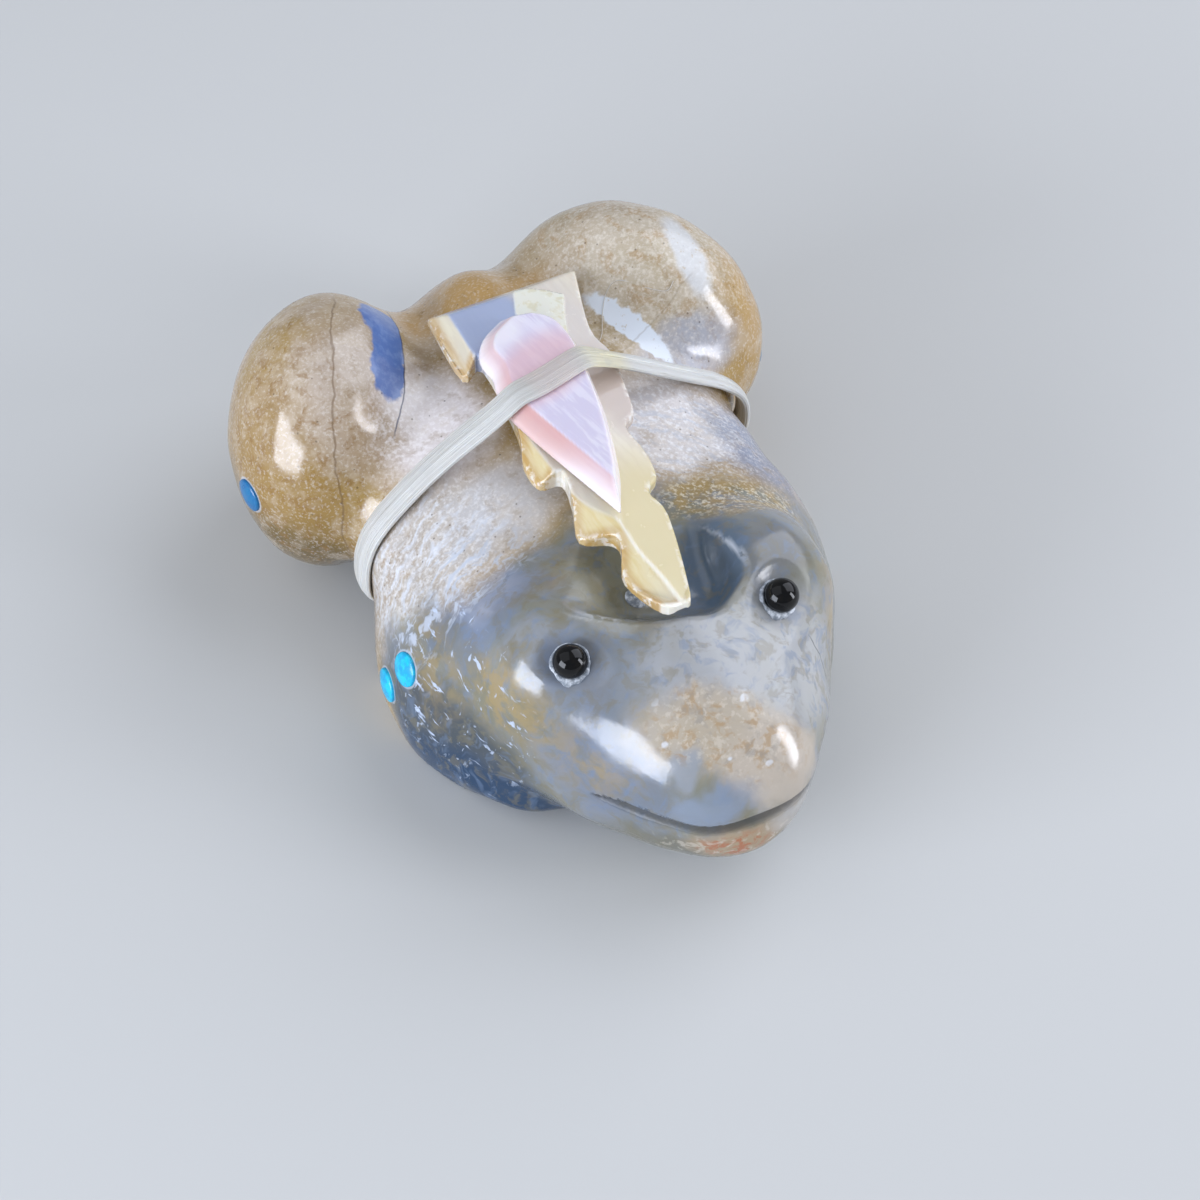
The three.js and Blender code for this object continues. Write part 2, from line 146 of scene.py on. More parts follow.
# The gold-lip point in plan: its two sides from the base to the tip, with the bites chipped out
# of them. The top rises by a slope of its own from the left side, the right side and the base, as
# these were before the chips, and eases to the tip's slopes over a stretch of its length
gold_point = {
    "thickness": 2.1, "edge": 0.8, "soft": 0.12,
    "slopes": (0.95, 0.32, 0.9), "tip_slopes": (0.42, 0.30, 0.9), "eases_along": (-10.0, -14.5),
    "left_before_chips": [(-6.2, 13.6), (-6.0, 6.0), (-5.6, -4.0), (-4.6, -12.0), (-3.5, -18.5)],
    "right_before_chips": [(7.7, 13.7), (6.6, 4.0), (5.2, -5.0), (3.6, -13.0), (2.0, -20.0)],
    "right_side": [
        (7.7, 13.7), (5.9, 6.7), (6.5, 3.6), (6.0, 0.0), (5.3, -3.3), (3.9, -4.7), (4.3, -7.6),
        (4.0, -10.3), (2.6, -11.8), (3.1, -14.4), (1.2, -22.3),
    ],
    "tip": (0.2, -23.0),
    "left_side": [
        (-6.2, 13.6), (-6.1, 6.3), (-4.1, 6.6), (-4.5, -1.5), (-5.4, -4.7), (-5.1, -7.2),
        (-3.3, -7.6), (-3.6, -10.3), (-4.5, -13.6), (-2.3, -14.9), (-2.0, -16.2), (-3.0, -19.0),
        (-1.5, -22.8),
    ],
}

# A cream flake of the outer shell left standing on the gold-lip point's base
flake_outline = [(1.4, 12.6), (5.3, 10.8), (4.4, 8.6), (3.6, 6.2), (2.2, 6.6), (1.0, 8.2), (0.4, 9.9)]
flake_height = 0.12
flake_edge = 0.12

# The pink point, on top of the gold-lip one
pink_point = {
    "thickness": 1.9, "edge": 0.6, "soft": 0.14, "slopes": (1.05, 2.4, 1.6),
    "right_side": [
        (0.7, 8.5), (2.6, 6.8), (3.2, 4.3), (3.0, 1.2), (2.2, -4.3), (0.7, -10.1),
    ],
    "tip": (-1.0, -14.0),
    "left_side": [
        (-1.5, 8.9), (-3.7, 7.5), (-4.8, 5.5), (-4.6, 3.4), (-4.9, 1.7), (-4.9, -1.6),
    ],
}
plate_cell = 0.15
bevel_line = 0.15
crest_line = 0.10

# Sinew: a flat bundle of waxed fibres in one turn round the waist and over the shell. Beside the
# shell it is drawn towards the head, and on the frog's left it narrows and parts in two
sinew_width = 2.3
sinew_thickness = 0.5
sinew_clearance = 0.38
sinew_turn = 3
sinew_draw = 1.5
sinew_drawn_at = -4.0
sinew_drawn_over = 5.5
sinew_drawn_above = (12, 20)
sinew_narrow = 0.62
sinew_narrow_across = (2, 6)
sinew_narrow_above = (6, 12)
sinew_parting = 0.14
sinew_directions = 240
sinew_steps = 380
sinew_smoothing = 6
sinew_fibres = 34
fibre_radius = 0.15
fibre_wander = 0.06
fibre_wander_length = 5.0
# One fibre has come loose and lies on the left thigh, along these places in plan
stray_radius = 0.03
stray_line = [
    (6.9, 7.2), (7.8, 8.3), (8.6, 9.9), (9.6, 11.2), (10.8, 11.3), (12.9, 9.5), (14.2, 8.8),
    (15.0, 9.2),
]

# Camera, by the direction it stands in and where its sight line passes
camera_azimuth = -24.58
camera_elevation = 50.30
camera_distance = 260
camera_target = (0, 0, 9)
target_pixel = (559.6, 504.6)
picture_width = 1200
focal_pixels = 3001
sensor_width = 36
nearest_seen = 10

# Studio: lamps, by direction from the frog, distance, width and height, watts and colour, and the
# pale room and floor that the gloss mirrors
lamps = {
    "left_softbox": ((-0.9, -0.24, 0.24), 420, (300, 220), 1.9, "#eaf1ff"),
    "right_front_lamp": ((0.74, -0.62, 0.26), 420, (110, 300), 1.0, "#f2f5ff"),
    "right_softbox": ((0.74, 0.1, 0.67), 600, (600, 600), 2.3, "#eef3ff"),
    "upper_left_fill": ((-0.55, 0.2, 0.81), 700, (800, 800), 1.1, "#f0f3fb"),
}
room_colour = "#e9edf4"
room_strength = 0.38
floor_colour = "#c9cac9"
floor_half = 3000


# Shapes as distances: roughly how far a place is outside the surface, negative inside it

def to_swelling(x, y, z, swelling, side=1):
    angle = math.radians(side * swelling.get("turn", 0))
    across = x - side * swelling["at"][0]
    along = y - swelling["at"][1]
    u = across * math.cos(angle) + along * math.sin(angle)
    v = along * math.cos(angle) - across * math.sin(angle)
    w = z - swelling["at"][2]
    a, b, c = swelling["half"]
    share = np.sqrt((u / a) ** 2 + (v / b) ** 2 + (w / c) ** 2)
    slope = np.sqrt((u / a**2) ** 2 + (v / b**2) ** 2 + (w / c**2) ** 2)
    return share * (share - 1) / np.maximum(slope, 1e-9)


def joined(one, other, blend):
    overlap = np.maximum(blend - np.abs(one - other), 0) / blend
    return np.minimum(one, other) - overlap**2 * blend / 4


def cut_away(stone, tool, blend):
    return -joined(-stone, tool, blend)


def to_scoop(x, y, z):
    """A pit with a level floor and a leaning wall along each side of its rim."""
    walls = None
    for (ax, ay, lean), (bx, by, _) in zip(scoop_corners, scoop_corners[1:] + scoop_corners[:1]):
        length = math.hypot(bx - ax, by - ay)
        beyond = ((x - ax) * (by - ay) - (y - ay) * (bx - ax)) / length
        wall = (beyond - (z - scoop_drawn_at) * lean) / math.hypot(1, lean)
        walls = wall if walls is None else -joined(-walls, -wall, scoop_corner_blend)
    return -joined(-walls, z - scoop_floor, scoop_floor_blend)


def to_body(x, y, z):
    """Body, head and thighs, before the scoop is taken out and the forefeet stand against them."""
    stone = joined(to_swelling(x, y, z, torso), to_swelling(x, y, z, head), head["blend"])
    snout = joined(*[to_swelling(x, y, z, snout_half, side) for side in (1, -1)], snout_half["blend"])
    stone = joined(stone, snout, snout_blend)
    for swelling in (jaw, rump):
        stone = joined(stone, to_swelling(x, y, z, swelling), swelling["blend"])
    for name, side in sides_of_frog.items():
        for swelling in (shoulder, thighs[name], brow):
            stone = joined(stone, to_swelling(x, y, z, swelling, side), swelling["blend"])
    return stone


def to_plain_stone(x, y, z):
    """The carving as the part has it, before mouth and eyes."""
    stone = cut_away(to_body(x, y, z), to_scoop(x, y, z), scoop_rim)
    for side in sides_of_frog.values():
        stone = joined(stone, to_swelling(x, y, z, forefoot, side), forefoot["blend"])
    arch = np.sqrt(((y - waist_at) / belly_arch["half_length"]) ** 2 + (z / belly_arch["height"]) ** 2)
    return cut_away(stone, (arch - 1) * belly_arch["height"], belly_arch["blend"])


def slope_at(distance, x, y, z, step=0.02):
    differences = [
        distance(x + dx, y + dy, z + dz) - distance(x - dx, y - dy, z - dz)
        for dx, dy, dz in step * np.eye(3)
    ]
    return np.stack(differences, axis=-1) / (2 * step)


def meet_stone(start, direction):
    """Walks from outside until it meets the stone; gives the place and the way out of the stone."""
    point = np.array(start, float)
    for _ in range(80):
        point = point + 0.8 * to_plain_stone(*point) * np.array(direction, float)
    normal = slope_at(to_plain_stone, *point)
    return point, normal / np.linalg.norm(normal)


def on_back(x, y):
    return meet_stone((x, y, well_outside), (0, 0, -1))


eye_seats = {name: on_back(*place) for name, place in eye_places.items()}


def with_lips(x, y, z):
    """The carving with its hand-polished skin and its lower lip set back, and the mouth's groove."""
    stone = to_plain_stone(x, y, z)
    a, b, c = [2 * math.pi * along / hand_length for along in (x, y, z)]
    stone = stone + hand_wobble * np.sin(a + 1) * np.sin(0.8 * b + 2)
    stone = stone + hand_wobble * np.sin(0.7 * c + 0.5) * np.sin(1.2 * b)
    angle = np.degrees(np.arctan2(np.abs(x - mouth_middle[0]), mouth_middle[1] - y))
    fade = np.clip((mouth_corner - angle) / mouth_fade, 0, 1)
    below = mouth_height - mouth_droop * (angle / mouth_corner) ** 2 - z
    down_lip = np.maximum(below, 0) / lip_height
    set_back = down_lip * np.exp(1 - down_lip)
    groove = np.sqrt((stone + mouth_inset) ** 2 + below**2) - mouth_radius * (2 * fade - 1)
    return stone + lip_setback * fade * set_back, groove


def to_stone(x, y, z):
    """The whole carving, with its mouth and the dishes that the eyes sit in."""
    stone, groove = with_lips(x, y, z)
    stone = cut_away(stone, groove, mouth_blend)
    ball = (eye_dish_radius**2 + eye_dish_depth**2) / (2 * eye_dish_depth)
    for point, normal in eye_seats.values():
        middle = point + (ball - eye_dish_depth) * normal + (0, eye_dish_above, 0)
        away = np.sqrt((x - middle[0]) ** 2 + (y - middle[1]) ** 2 + (z - middle[2]) ** 2)
        stone = cut_away(stone, away - ball, eye_dish_rim)
    return cut_away(stone, z, ground_blend)


# Skins over distances

def open_saddles(values):
    """Where the corners of a grid face are inside and outside by turns, the inside corner nearest
    to the surface is put outside, so that no edge of the skin is shared by four faces."""
    for _ in range(8):
        opened = 0
        for axis in range(3):
            u, v = (axis + 1) % 3, (axis + 2) % 3
            flat = np.moveaxis(values, (u, v), (0, 1))
            ring = [flat[:-1, :-1], flat[1:, :-1], flat[1:, 1:], flat[:-1, 1:]]
            a, b, c, d = [corner < 0 for corner in ring]
            saddle = (a == c) & (b == d) & (a != b)
            for first, second, is_inside in ((ring[0], ring[2], a), (ring[1], ring[3], b)):
                chosen = saddle & is_inside
                opened += int(chosen.sum())
                nearer = first > second
                first[chosen & nearer] = 1e-6
                second[chosen & ~nearer] = 1e-6
        if not opened:
            return


def skin(distance, low, high, cell, margin=0.05):
    """Corners, four-sided faces and normals of the closed surface where a distance is zero: one
    corner in each grid cell that the surface crosses, one face over each crossed grid edge."""
    low = np.array(low, float)
    counts = np.ceil((np.array(high) - low) / cell).astype(int) + 1
    steps = [low[axis] + cell * np.arange(counts[axis]) for axis in range(3)]
    values = np.array(distance(*np.meshgrid(*steps, indexing="ij", sparse=True)))
    open_saddles(values)
    units = np.eye(3, dtype=int)
    strides = np.array([counts[1] * counts[2], counts[2], 1])
    rings = []
    crossings = []
    for axis in range(3):
        near = values.take(range(counts[axis] - 1), axis)
        far = values.take(range(1, counts[axis]), axis)
        places = np.argwhere((near < 0) != (far < 0))
        a = near[tuple(places.T)]
        b = far[tuple(places.T)]
        crossings.append(low + cell * (places + (a / (a - b))[:, None] * units[axis]))
        u, v = units[(axis + 1) % 3], units[(axis + 2) % 3]
        ring = np.stack([places - u - v, places - v, places, places - u], axis=1) @ strides
        ring[a >= 0] = ring[a >= 0, ::-1]
        rings.append(ring)
    cells, faces = np.unique(np.concatenate(rings), return_inverse=True)
    faces = faces.reshape(-1, 4)
    crossings = np.repeat(np.concatenate(crossings), 4, axis=0)
    shares = np.bincount(faces.ravel())
    corners = np.stack([np.bincount(faces.ravel(), weights=column) for column in crossings.T], axis=1)
    corners /= shares[:, None]
    cell_low = low + cell * np.stack(np.unravel_index(cells, counts), axis=1)
    for _ in range(3):
        rise = slope_at(distance, *corners.T)
        off = distance(*corners.T) / np.maximum((rise**2).sum(axis=1), 0.1)
        corners = corners - rise * off[:, None]
        corners = np.clip(corners, cell_low + margin * cell, cell_low + (1 - margin) * cell)
    rise = slope_at(distance, *corners.T)
    return corners, faces.tolist(), rise / np.maximum(np.linalg.norm(rise, axis=1), 1e-9)[:, None]


# From drawn millimetres to pieces. The gold-lip point's middle says how far the frame is shifted

outer_corners = np.array([*gold_point["right_side"], gold_point["tip"], *gold_point["left_side"]])
drawn_middle = (outer_corners.min(axis=0) + outer_corners.max(axis=0)) / 2
gold_low, gold_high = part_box("gold_lip_point")
frame_middle = (np.array(gold_low) + np.array(gold_high)) / 2 / millimetre
shift = np.array([*(frame_middle[:2] - drawn_middle), 0.0])
gold_rests_at = gold_low.z / millimetre
pink_rests_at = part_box("pink_shell_point")[0].z / millimetre


def into_frame(points):
    return (np.asarray(points, float) + shift) * millimetre


def piece_of(name, corners, faces, material, nodes=(), normals=None, attributes=None):
    """Makes a piece from drawn corners and hands it to the frame."""
    mesh = bpy.data.meshes.new(name)
    mesh.from_pydata(into_frame(corners).tolist(), [], faces)
    mesh.shade_smooth()
    for key, values in (attributes or {}).items():
        mesh.attributes.new(key, "FLOAT", "POINT").data.foreach_set("value", np.asarray(values, float))
    if normals is not None:
        mesh.normals_split_custom_set_from_vertices(normals.tolist())
    return hand_over(bpy.data.objects.new(name, mesh), material, nodes)


def hand_over(piece, material, nodes=()):
    if not piece.data.materials:
        piece.data.materials.append(material)
    if not piece.users_collection:
        bpy.context.scene.collection.objects.link(piece)
    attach(piece, "root")
    if nodes:
        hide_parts(*nodes)
    return piece


# Materials

def linear(hex_colour):
    """An sRGB hex colour as linear red, green, blue and full cover."""
    parts = [int(hex_colour[n:n + 2], 16) / 255 for n in (1, 3, 5)]
    return (*[c / 12.92 if c <= 0.04045 else ((c + 0.055) / 1.055) ** 2.4 for c in parts], 1.0)


def add(tree, kind, inputs=None, **settings):
    """Adds a node with its settings, and links or sets its inputs."""
    node = tree.nodes.new(kind)
    for name, value in settings.items():
        setattr(node, name, value)
    for key, value in (inputs or {}).items():
        if isinstance(value, bpy.types.NodeSocket):
            tree.links.new(value, node.inputs[key])
        else:
            node.inputs[key].default_value = value
    return node


# Sockets of the Mix node when it mixes colours, and of Map Range
mix_share, mix_under, mix_over, mix_result = 0, 6, 7, 2
from_low, from_high, to_low, to_high = 1, 2, 3, 4


def new_material(name):
    material = bpy.data.materials.new(name)
    material.use_nodes = True
    tree = material.node_tree
    shader = tree.nodes["Principled BSDF"]
    return material, tree, shader


def drawn_place(tree):
    """Object coordinates in drawn millimetres."""
    place = add(tree, "ShaderNodeTexCoord").outputs["Object"]
    scaled = {"Vector": place, "Scale": [1 / millimetre] * 3, "Location": list(-shift)}
    return add(tree, "ShaderNodeMapping", scaled, vector_type="POINT").outputs[0]


def shaken(tree, place, size, amount):
    """A place pushed about by noise whose features measure size millimetres."""
    noise = add(tree, "ShaderNodeTexNoise", {"Vector": place, "Scale": 1 / size, "Detail": 3})
    centring = {0: noise.outputs["Color"], 1: (0.5, 0.5, 0.5)}
    centred = add(tree, "ShaderNodeVectorMath", centring, operation="SUBTRACT")
    spread = {0: centred.outputs[0], 1: [2 * amount] * 3, 2: place}
    return add(tree, "ShaderNodeVectorMath", spread, operation="MULTIPLY_ADD").outputs[0]


def lay(tree, under, colour, strength, *shares):
    """Lays a colour over what is under it, where all the shares are high, up to a strength."""
    share = strength
    for part in shares:
        share = add(tree, "ShaderNodeMath", {0: part, 1: share}, operation="MULTIPLY").outputs[0]
    top = colour if isinstance(colour, bpy.types.NodeSocket) else linear(colour)
    bottom = under if isinstance(under, bpy.types.NodeSocket) else linear(under)
    laid = {mix_share: share, mix_under: bottom, mix_over: top}
    return add(tree, "ShaderNodeMix", laid, data_type="RGBA").outputs[mix_result]


def in_zone(tree, place, at, half, turn=0, soft=0.3):
    """One inside a rounded zone, falling to nothing over its soft border."""
    reach = [2 * side for side in half]
    settle = {"Vector": place, "Location": at, "Rotation": (0, 0, math.radians(turn)), "Scale": reach}
    inside = add(tree, "ShaderNodeMapping", settle, vector_type="TEXTURE").outputs[0]
    near = add(tree, "ShaderNodeTexGradient", {"Vector": inside}, gradient_type="SPHERICAL")
    fall = {0: near.outputs["Fac"], from_low: (1 - soft) / 2, from_high: (1 + soft) / 2}
    return add(tree, "ShaderNodeMapRange", fall, interpolation_type="SMOOTHSTEP").outputs[0]


def blotches(tree, place, size, low, high, detail=3):
    """Noise in blotches of a size, cut off below low and full above high."""
    noise = {"Vector": place, "Scale": 1 / size, "Detail": detail, "Roughness": 0.6}
    value = add(tree, "ShaderNodeTexNoise", noise).outputs["Fac"]
    steep = {0: value, from_low: low, from_high: high, to_low: 0.0, to_high: 1.0}
    return add(tree, "ShaderNodeMapRange", steep, interpolation_type="SMOOTHSTEP").outputs[0]


def streaks(tree, place, direction, length, width, low, high):
    """Blotches drawn out to a length along one direction."""
    turn = Vector(direction).to_track_quat("X", "Z").to_euler()
    drawn_out = {"Vector": place, "Rotation": turn, "Scale": (length, width, width)}
    along = add(tree, "ShaderNodeMapping", drawn_out, vector_type="TEXTURE").outputs[0]
    return blotches(tree, along, 1, low, high, 2)


def specks(tree, place, spacing, size, chosen):
    """Round specks up to a size across, in a chosen share of the cells of a spacing."""
    cells = add(tree, "ShaderNodeTexVoronoi", {"Vector": place, "Scale": 1 / spacing})
    half = size / spacing / 2
    edge = {0: cells.outputs["Distance"], from_low: half, from_high: half / 2}
    inside = add(tree, "ShaderNodeMapRange", edge, interpolation_type="SMOOTHSTEP").outputs[0]
    chance = add(tree, "ShaderNodeSeparateColor", {"Color": cells.outputs["Color"]}).outputs["Red"]
    picked = add(tree, "ShaderNodeMath", {0: chance, 1: chosen}, operation="LESS_THAN").outputs[0]
    return add(tree, "ShaderNodeMath", {0: inside, 1: picked}, operation="MULTIPLY").outputs[0]


def from_sheet(tree, place, through):
    """How far a place is from a sheet through three places, below nothing on one side."""
    a, b, c = [Vector(point) for point in through]
    normal = (b - a).cross(c - a).normalized()
    along = add(tree, "ShaderNodeVectorMath", {0: place, 1: normal}, operation="DOT_PRODUCT")
    offset = {0: along.outputs["Value"], 1: normal.dot(a)}
    return add(tree, "ShaderNodeMath", offset, operation="SUBTRACT").outputs[0]


def on_sheet(tree, place, through, width):
    """One where a thin sheet through three places cuts the stone, as a crack or a vein does."""
    away = add(tree, "ShaderNodeMath", {0: from_sheet(tree, place, through)}, operation="ABSOLUTE")
    fall = {0: away.outputs[0], from_low: width, from_high: 0.2 * width, to_low: 0.0, to_high: 1.0}
    return add(tree, "ShaderNodeMapRange", fall, interpolation_type="SMOOTHSTEP").outputs[0]


def uneven_gloss(tree, place, size, low, high):
    """Roughness that strays between two values, as a hand polish leaves it."""
    wear_and_painted_light = add(tree, "ShaderNodeTexNoise", {"Vector": place, "Scale": 1 / size, "Detail": 5})
    rough = {0: wear_and_painted_light.outputs["Fac"], from_low: 0.3, from_high: 0.7, to_low: low, to_high: high}
    return add(tree, "ShaderNodeMapRange", rough).outputs[0]


# Directions of streaks in the stone, from the nose backwards and up
up_the_shoulder = (0.76, 0.29, 0.58)
up_the_cheek = (0.58, 0.04, 0.81)
down_the_cheek = (0.31, -0.93, -0.18)
across_the_back = (0.86, -0.42, -0.30)

# The warm half of the stone: colour, strength, centre, half-sizes, turn and softness of the border
warm_zones = [
    ("#957538", 0.85, (-23, 6, 11), (6, 13, 12), 0, 0.4),
    ("#b9ab9f", 0.75, (-14.5, 9, 21), (5.0, 9, 5), -15, 0.35),
    ("#c09a60", 0.8, (-1, 20, 19), (8, 7, 6), 0, 0.25),
    ("#a49a84", 0.6, (9, 23, 20), (8, 5, 8), 30, 0.3),
    ("#c6bdac", 0.7, (14, 11, 22), (8, 8, 6), 0, 0.4),
    ("#b08c4c", 0.7, (23, 8, 13), (4.5, 11, 9), 0, 0.3),
    # Whitish stone at the waist, made lighter still as painted light where the shell shades it
    ("#e2dcdd", 0.9, (-9.5, 5.0, 18), (5.0, 6.0, 5), 0, 0.3),
    ("#a7b0c4", 0.7, (14.5, 5.0, 17), (5, 2.2, 5), 10, 0.35),
    ("#b5b0ac", 0.75, (-14, -5, 14), (9, 5.5, 9), 0, 0.35),
    ("#c6c4c5", 0.85, (-7, -5, 18), (5, 4, 5), 0, 0.35),
    ("#c8c5c8", 0.8, (9, -2.5, 17), (9, 5.5, 7), 0, 0.35),
    ("#7d88a2", 0.8, (16.2, -5.6, 12), (4.0, 6.0, 7), 0, 0.4),
    # Painted shade low on the frog's right thigh, near the floor
    ("#5d4c26", 0.85, (-22, 8, 4), (10, 13, 7.5), 0, 0.35),
    ("#a98f6c", 0.7, (-14.5, 6.0, 19), (3, 3, 4), 0, 0.4),
    ("#8d99a8", 0.6, (-15.5, 3.5, 3), (3, 5, 5), 0, 0.4),
]
crystal_zones = [
    ("#f4f0f2", 0.60, (-9.5, 5.5, 18.5), (5.0, 5.5, 5)),
    ("#efe8dc", 0.40, (14, 12, 22), (10, 9, 6)),
    ("#e2d8cc", 0.20, (-16, 9, 20), (6, 9, 6)),
    ("#f0f0f2", 0.50, (-14, -5, 14), (9, 6.5, 9)),
    ("#eef0f4", 0.50, (9, -3, 18), (10, 6.5, 6)),
]
# The grey half, with the head: the wide sweep of it, and where it runs up the right shoulder
grey_zones = [
    ((0, -40, 10), (42, 31, 60), 8, 0.05),
    ((-16.5, -17, 8), (10, 10.5, 9), 0, 0.15),
]
head_zones = [
    ("#61779c", 0.65, (-13, -13, 15), (5, 5, 6), 0, 0.4),
    ("#76839a", 0.5, (-8, -25, 18), (5, 4, 5), 0, 0.4),
    ("#65748e", 0.6, (-10, -31, 13), (6, 6, 5), 0, 0.4),
    ("#77735c", 0.65, (-15.5, -18, 11), (5, 8, 5), 0, 0.4),
    # Painted shade low on the frog's right cheek and forefoot, near the floor
    ("#303d4b", 0.85, (-18, -17, 6), (6, 10, 5), 0, 0.4),
    ("#1d3a58", 0.95, (-15, -18, 0.5), (11, 11, 5), 0, 0.3),
    ("#b9babc", 0.75, (6, -28, 17), (7, 6, 6), 0, 0.4),
    ("#aeb0b4", 0.6, (-0.5, -26.5, 20), (4.5, 4.0, 4), 0, 0.4),
    ("#9aa2b4", 0.6, (-11.8, -12.0, 17.5), (2.8, 3.2, 4), 0, 0.4),
    ("#6a6d72", 0.75, (9.6, -20.4, 21), (3.0, 2.6, 3), 0, 0.4),
    ("#8a8f96", 0.5, (11, -16, 18), (5, 4, 5), 0, 0.35),
    ("#b09c74", 0.6, (14.8, -22, 12), (3.5, 6, 6), 0, 0.35),
    ("#96947f", 0.65, (-3.5, -16.5, 19), (4.5, 4.0, 3), 0, 0.3),
    ("#66758a", 0.55, (2.6, -19, 17.4), (2.2, 4.5, 2), 0, 0.3),
    # Painted shade on the scoop's right wall
    ("#52667c", 0.85, (5.6, -18.4, 18.6), (3.0, 4.6, 3.0), -16, 0.2),
]
# The tan cap of the snout, the blue-grey that runs into it, and the jaw
snout_zones = [
    ("#b8ab98", 0.85, (-0.3, -33.2, 17), (7.6, 3.2, 8), -30, 0.32),
    ("#bbb0a3", 0.85, (2.4, -35.4, 15), (4.0, 3.0, 5), 0, 0.3),
    ("#939aa4", 0.8, (-4.9, -34.0, 16.8), (1.7, 1.2, 2), 30, 0.4),
    ("#8392a8", 0.7, (-3.5, -36.4, 13.6), (4.5, 2.2, 1.8), 20, 0.4),
    # Painted shade under the jaw
    ("#6d6a59", 0.85, (0, -36, 6), (12, 10, 4), 0, 0.2),
    ("#b49c7c", 0.7, (-1.5, -38, 8.8), (4.5, 3, 2.2), 0, 0.4),
    ("#c4c0be", 0.6, (4.2, -37.4, 9.4), (2.8, 3.0, 1.6), 0, 0.4),
]
# Ochre runs through the grey: strength, centre, half-sizes, turn and softness
ochre_zones = [
    (0.7, (-14.5, -21.0, 15.4), (1.8, 4.2, 4), 28, 0.6),
    (0.5, (-11.5, -28.5, 14.5), (1.4, 4.5, 4), 34, 0.6),
    (0.5, (-17, -12.5, 10), (1.6, 4.0, 5), 10, 0.6),
    (0.95, (10.2, -11.6, 16), (7.0, 4.2, 7), -4, 0.3),
    (0.6, (15.8, -19, 13.5), (1.6, 5, 5), 0, 0.5),
]
# Patches of pale stone with crisp borders
patch_zones = [
    ("#e2eaf4", 1.0, (10.4, 8.0, 19), (1.0, 4.9, 4), 31, 0.1),
    ("#d6dde6", 0.6, (17.3, 11.3, 22.0), (1.4, 4.2, 4), 0, 0.25),
]
# The blue patch lies in lobes along one side of the dark vein
blue_lobes = [
    ((-9.3, 15.9, 20.5), (2.1, 3.0, 4), -3, 0.1),
    ((-9.9, 13.2, 20.5), (1.5, 2.2, 4), -10, 0.1),
    ((-10.9, 10.9, 20.5), (1.55, 2.9, 4), -24, 0.1),
]
blue_patch_vein = ((-7.8, 18.9, 18.3), (-8.4, 14.2, 19.5), (-10.6, 8.6, 19.3))
# Veins: colour, strength, width, the middle and reach of the stretch that shows, and three places
# on the sheet of each
stone_veins = [
    ("#2a3350", 0.80, 0.11, (-9.6, 12.4, 19.5), 7.4, blue_patch_vein),
    (
        "#6a5030", 0.55, 0.15, (-16.5, 9, 18), 11.5,
        ((-13.4, 17.1, 22.9), (-17.3, 7.3, 20.7), (-18.8, 2.7, 10.8)),
    ),
    ("#77654c", 0.25, 0.14, (13.2, 8, 17), 6.0, ((16.8, 9.3, 21), (9.8, 6.4, 18.5), (13, 9, 10))),
    (
        "#2c3038", 0.60, 0.08, (10.4, -28, 12), 5.0,
        ((9.6, -26.6, 16.4), (11.8, -29.6, 11.6), (9.8, -27.5, 8)),
    ),
]


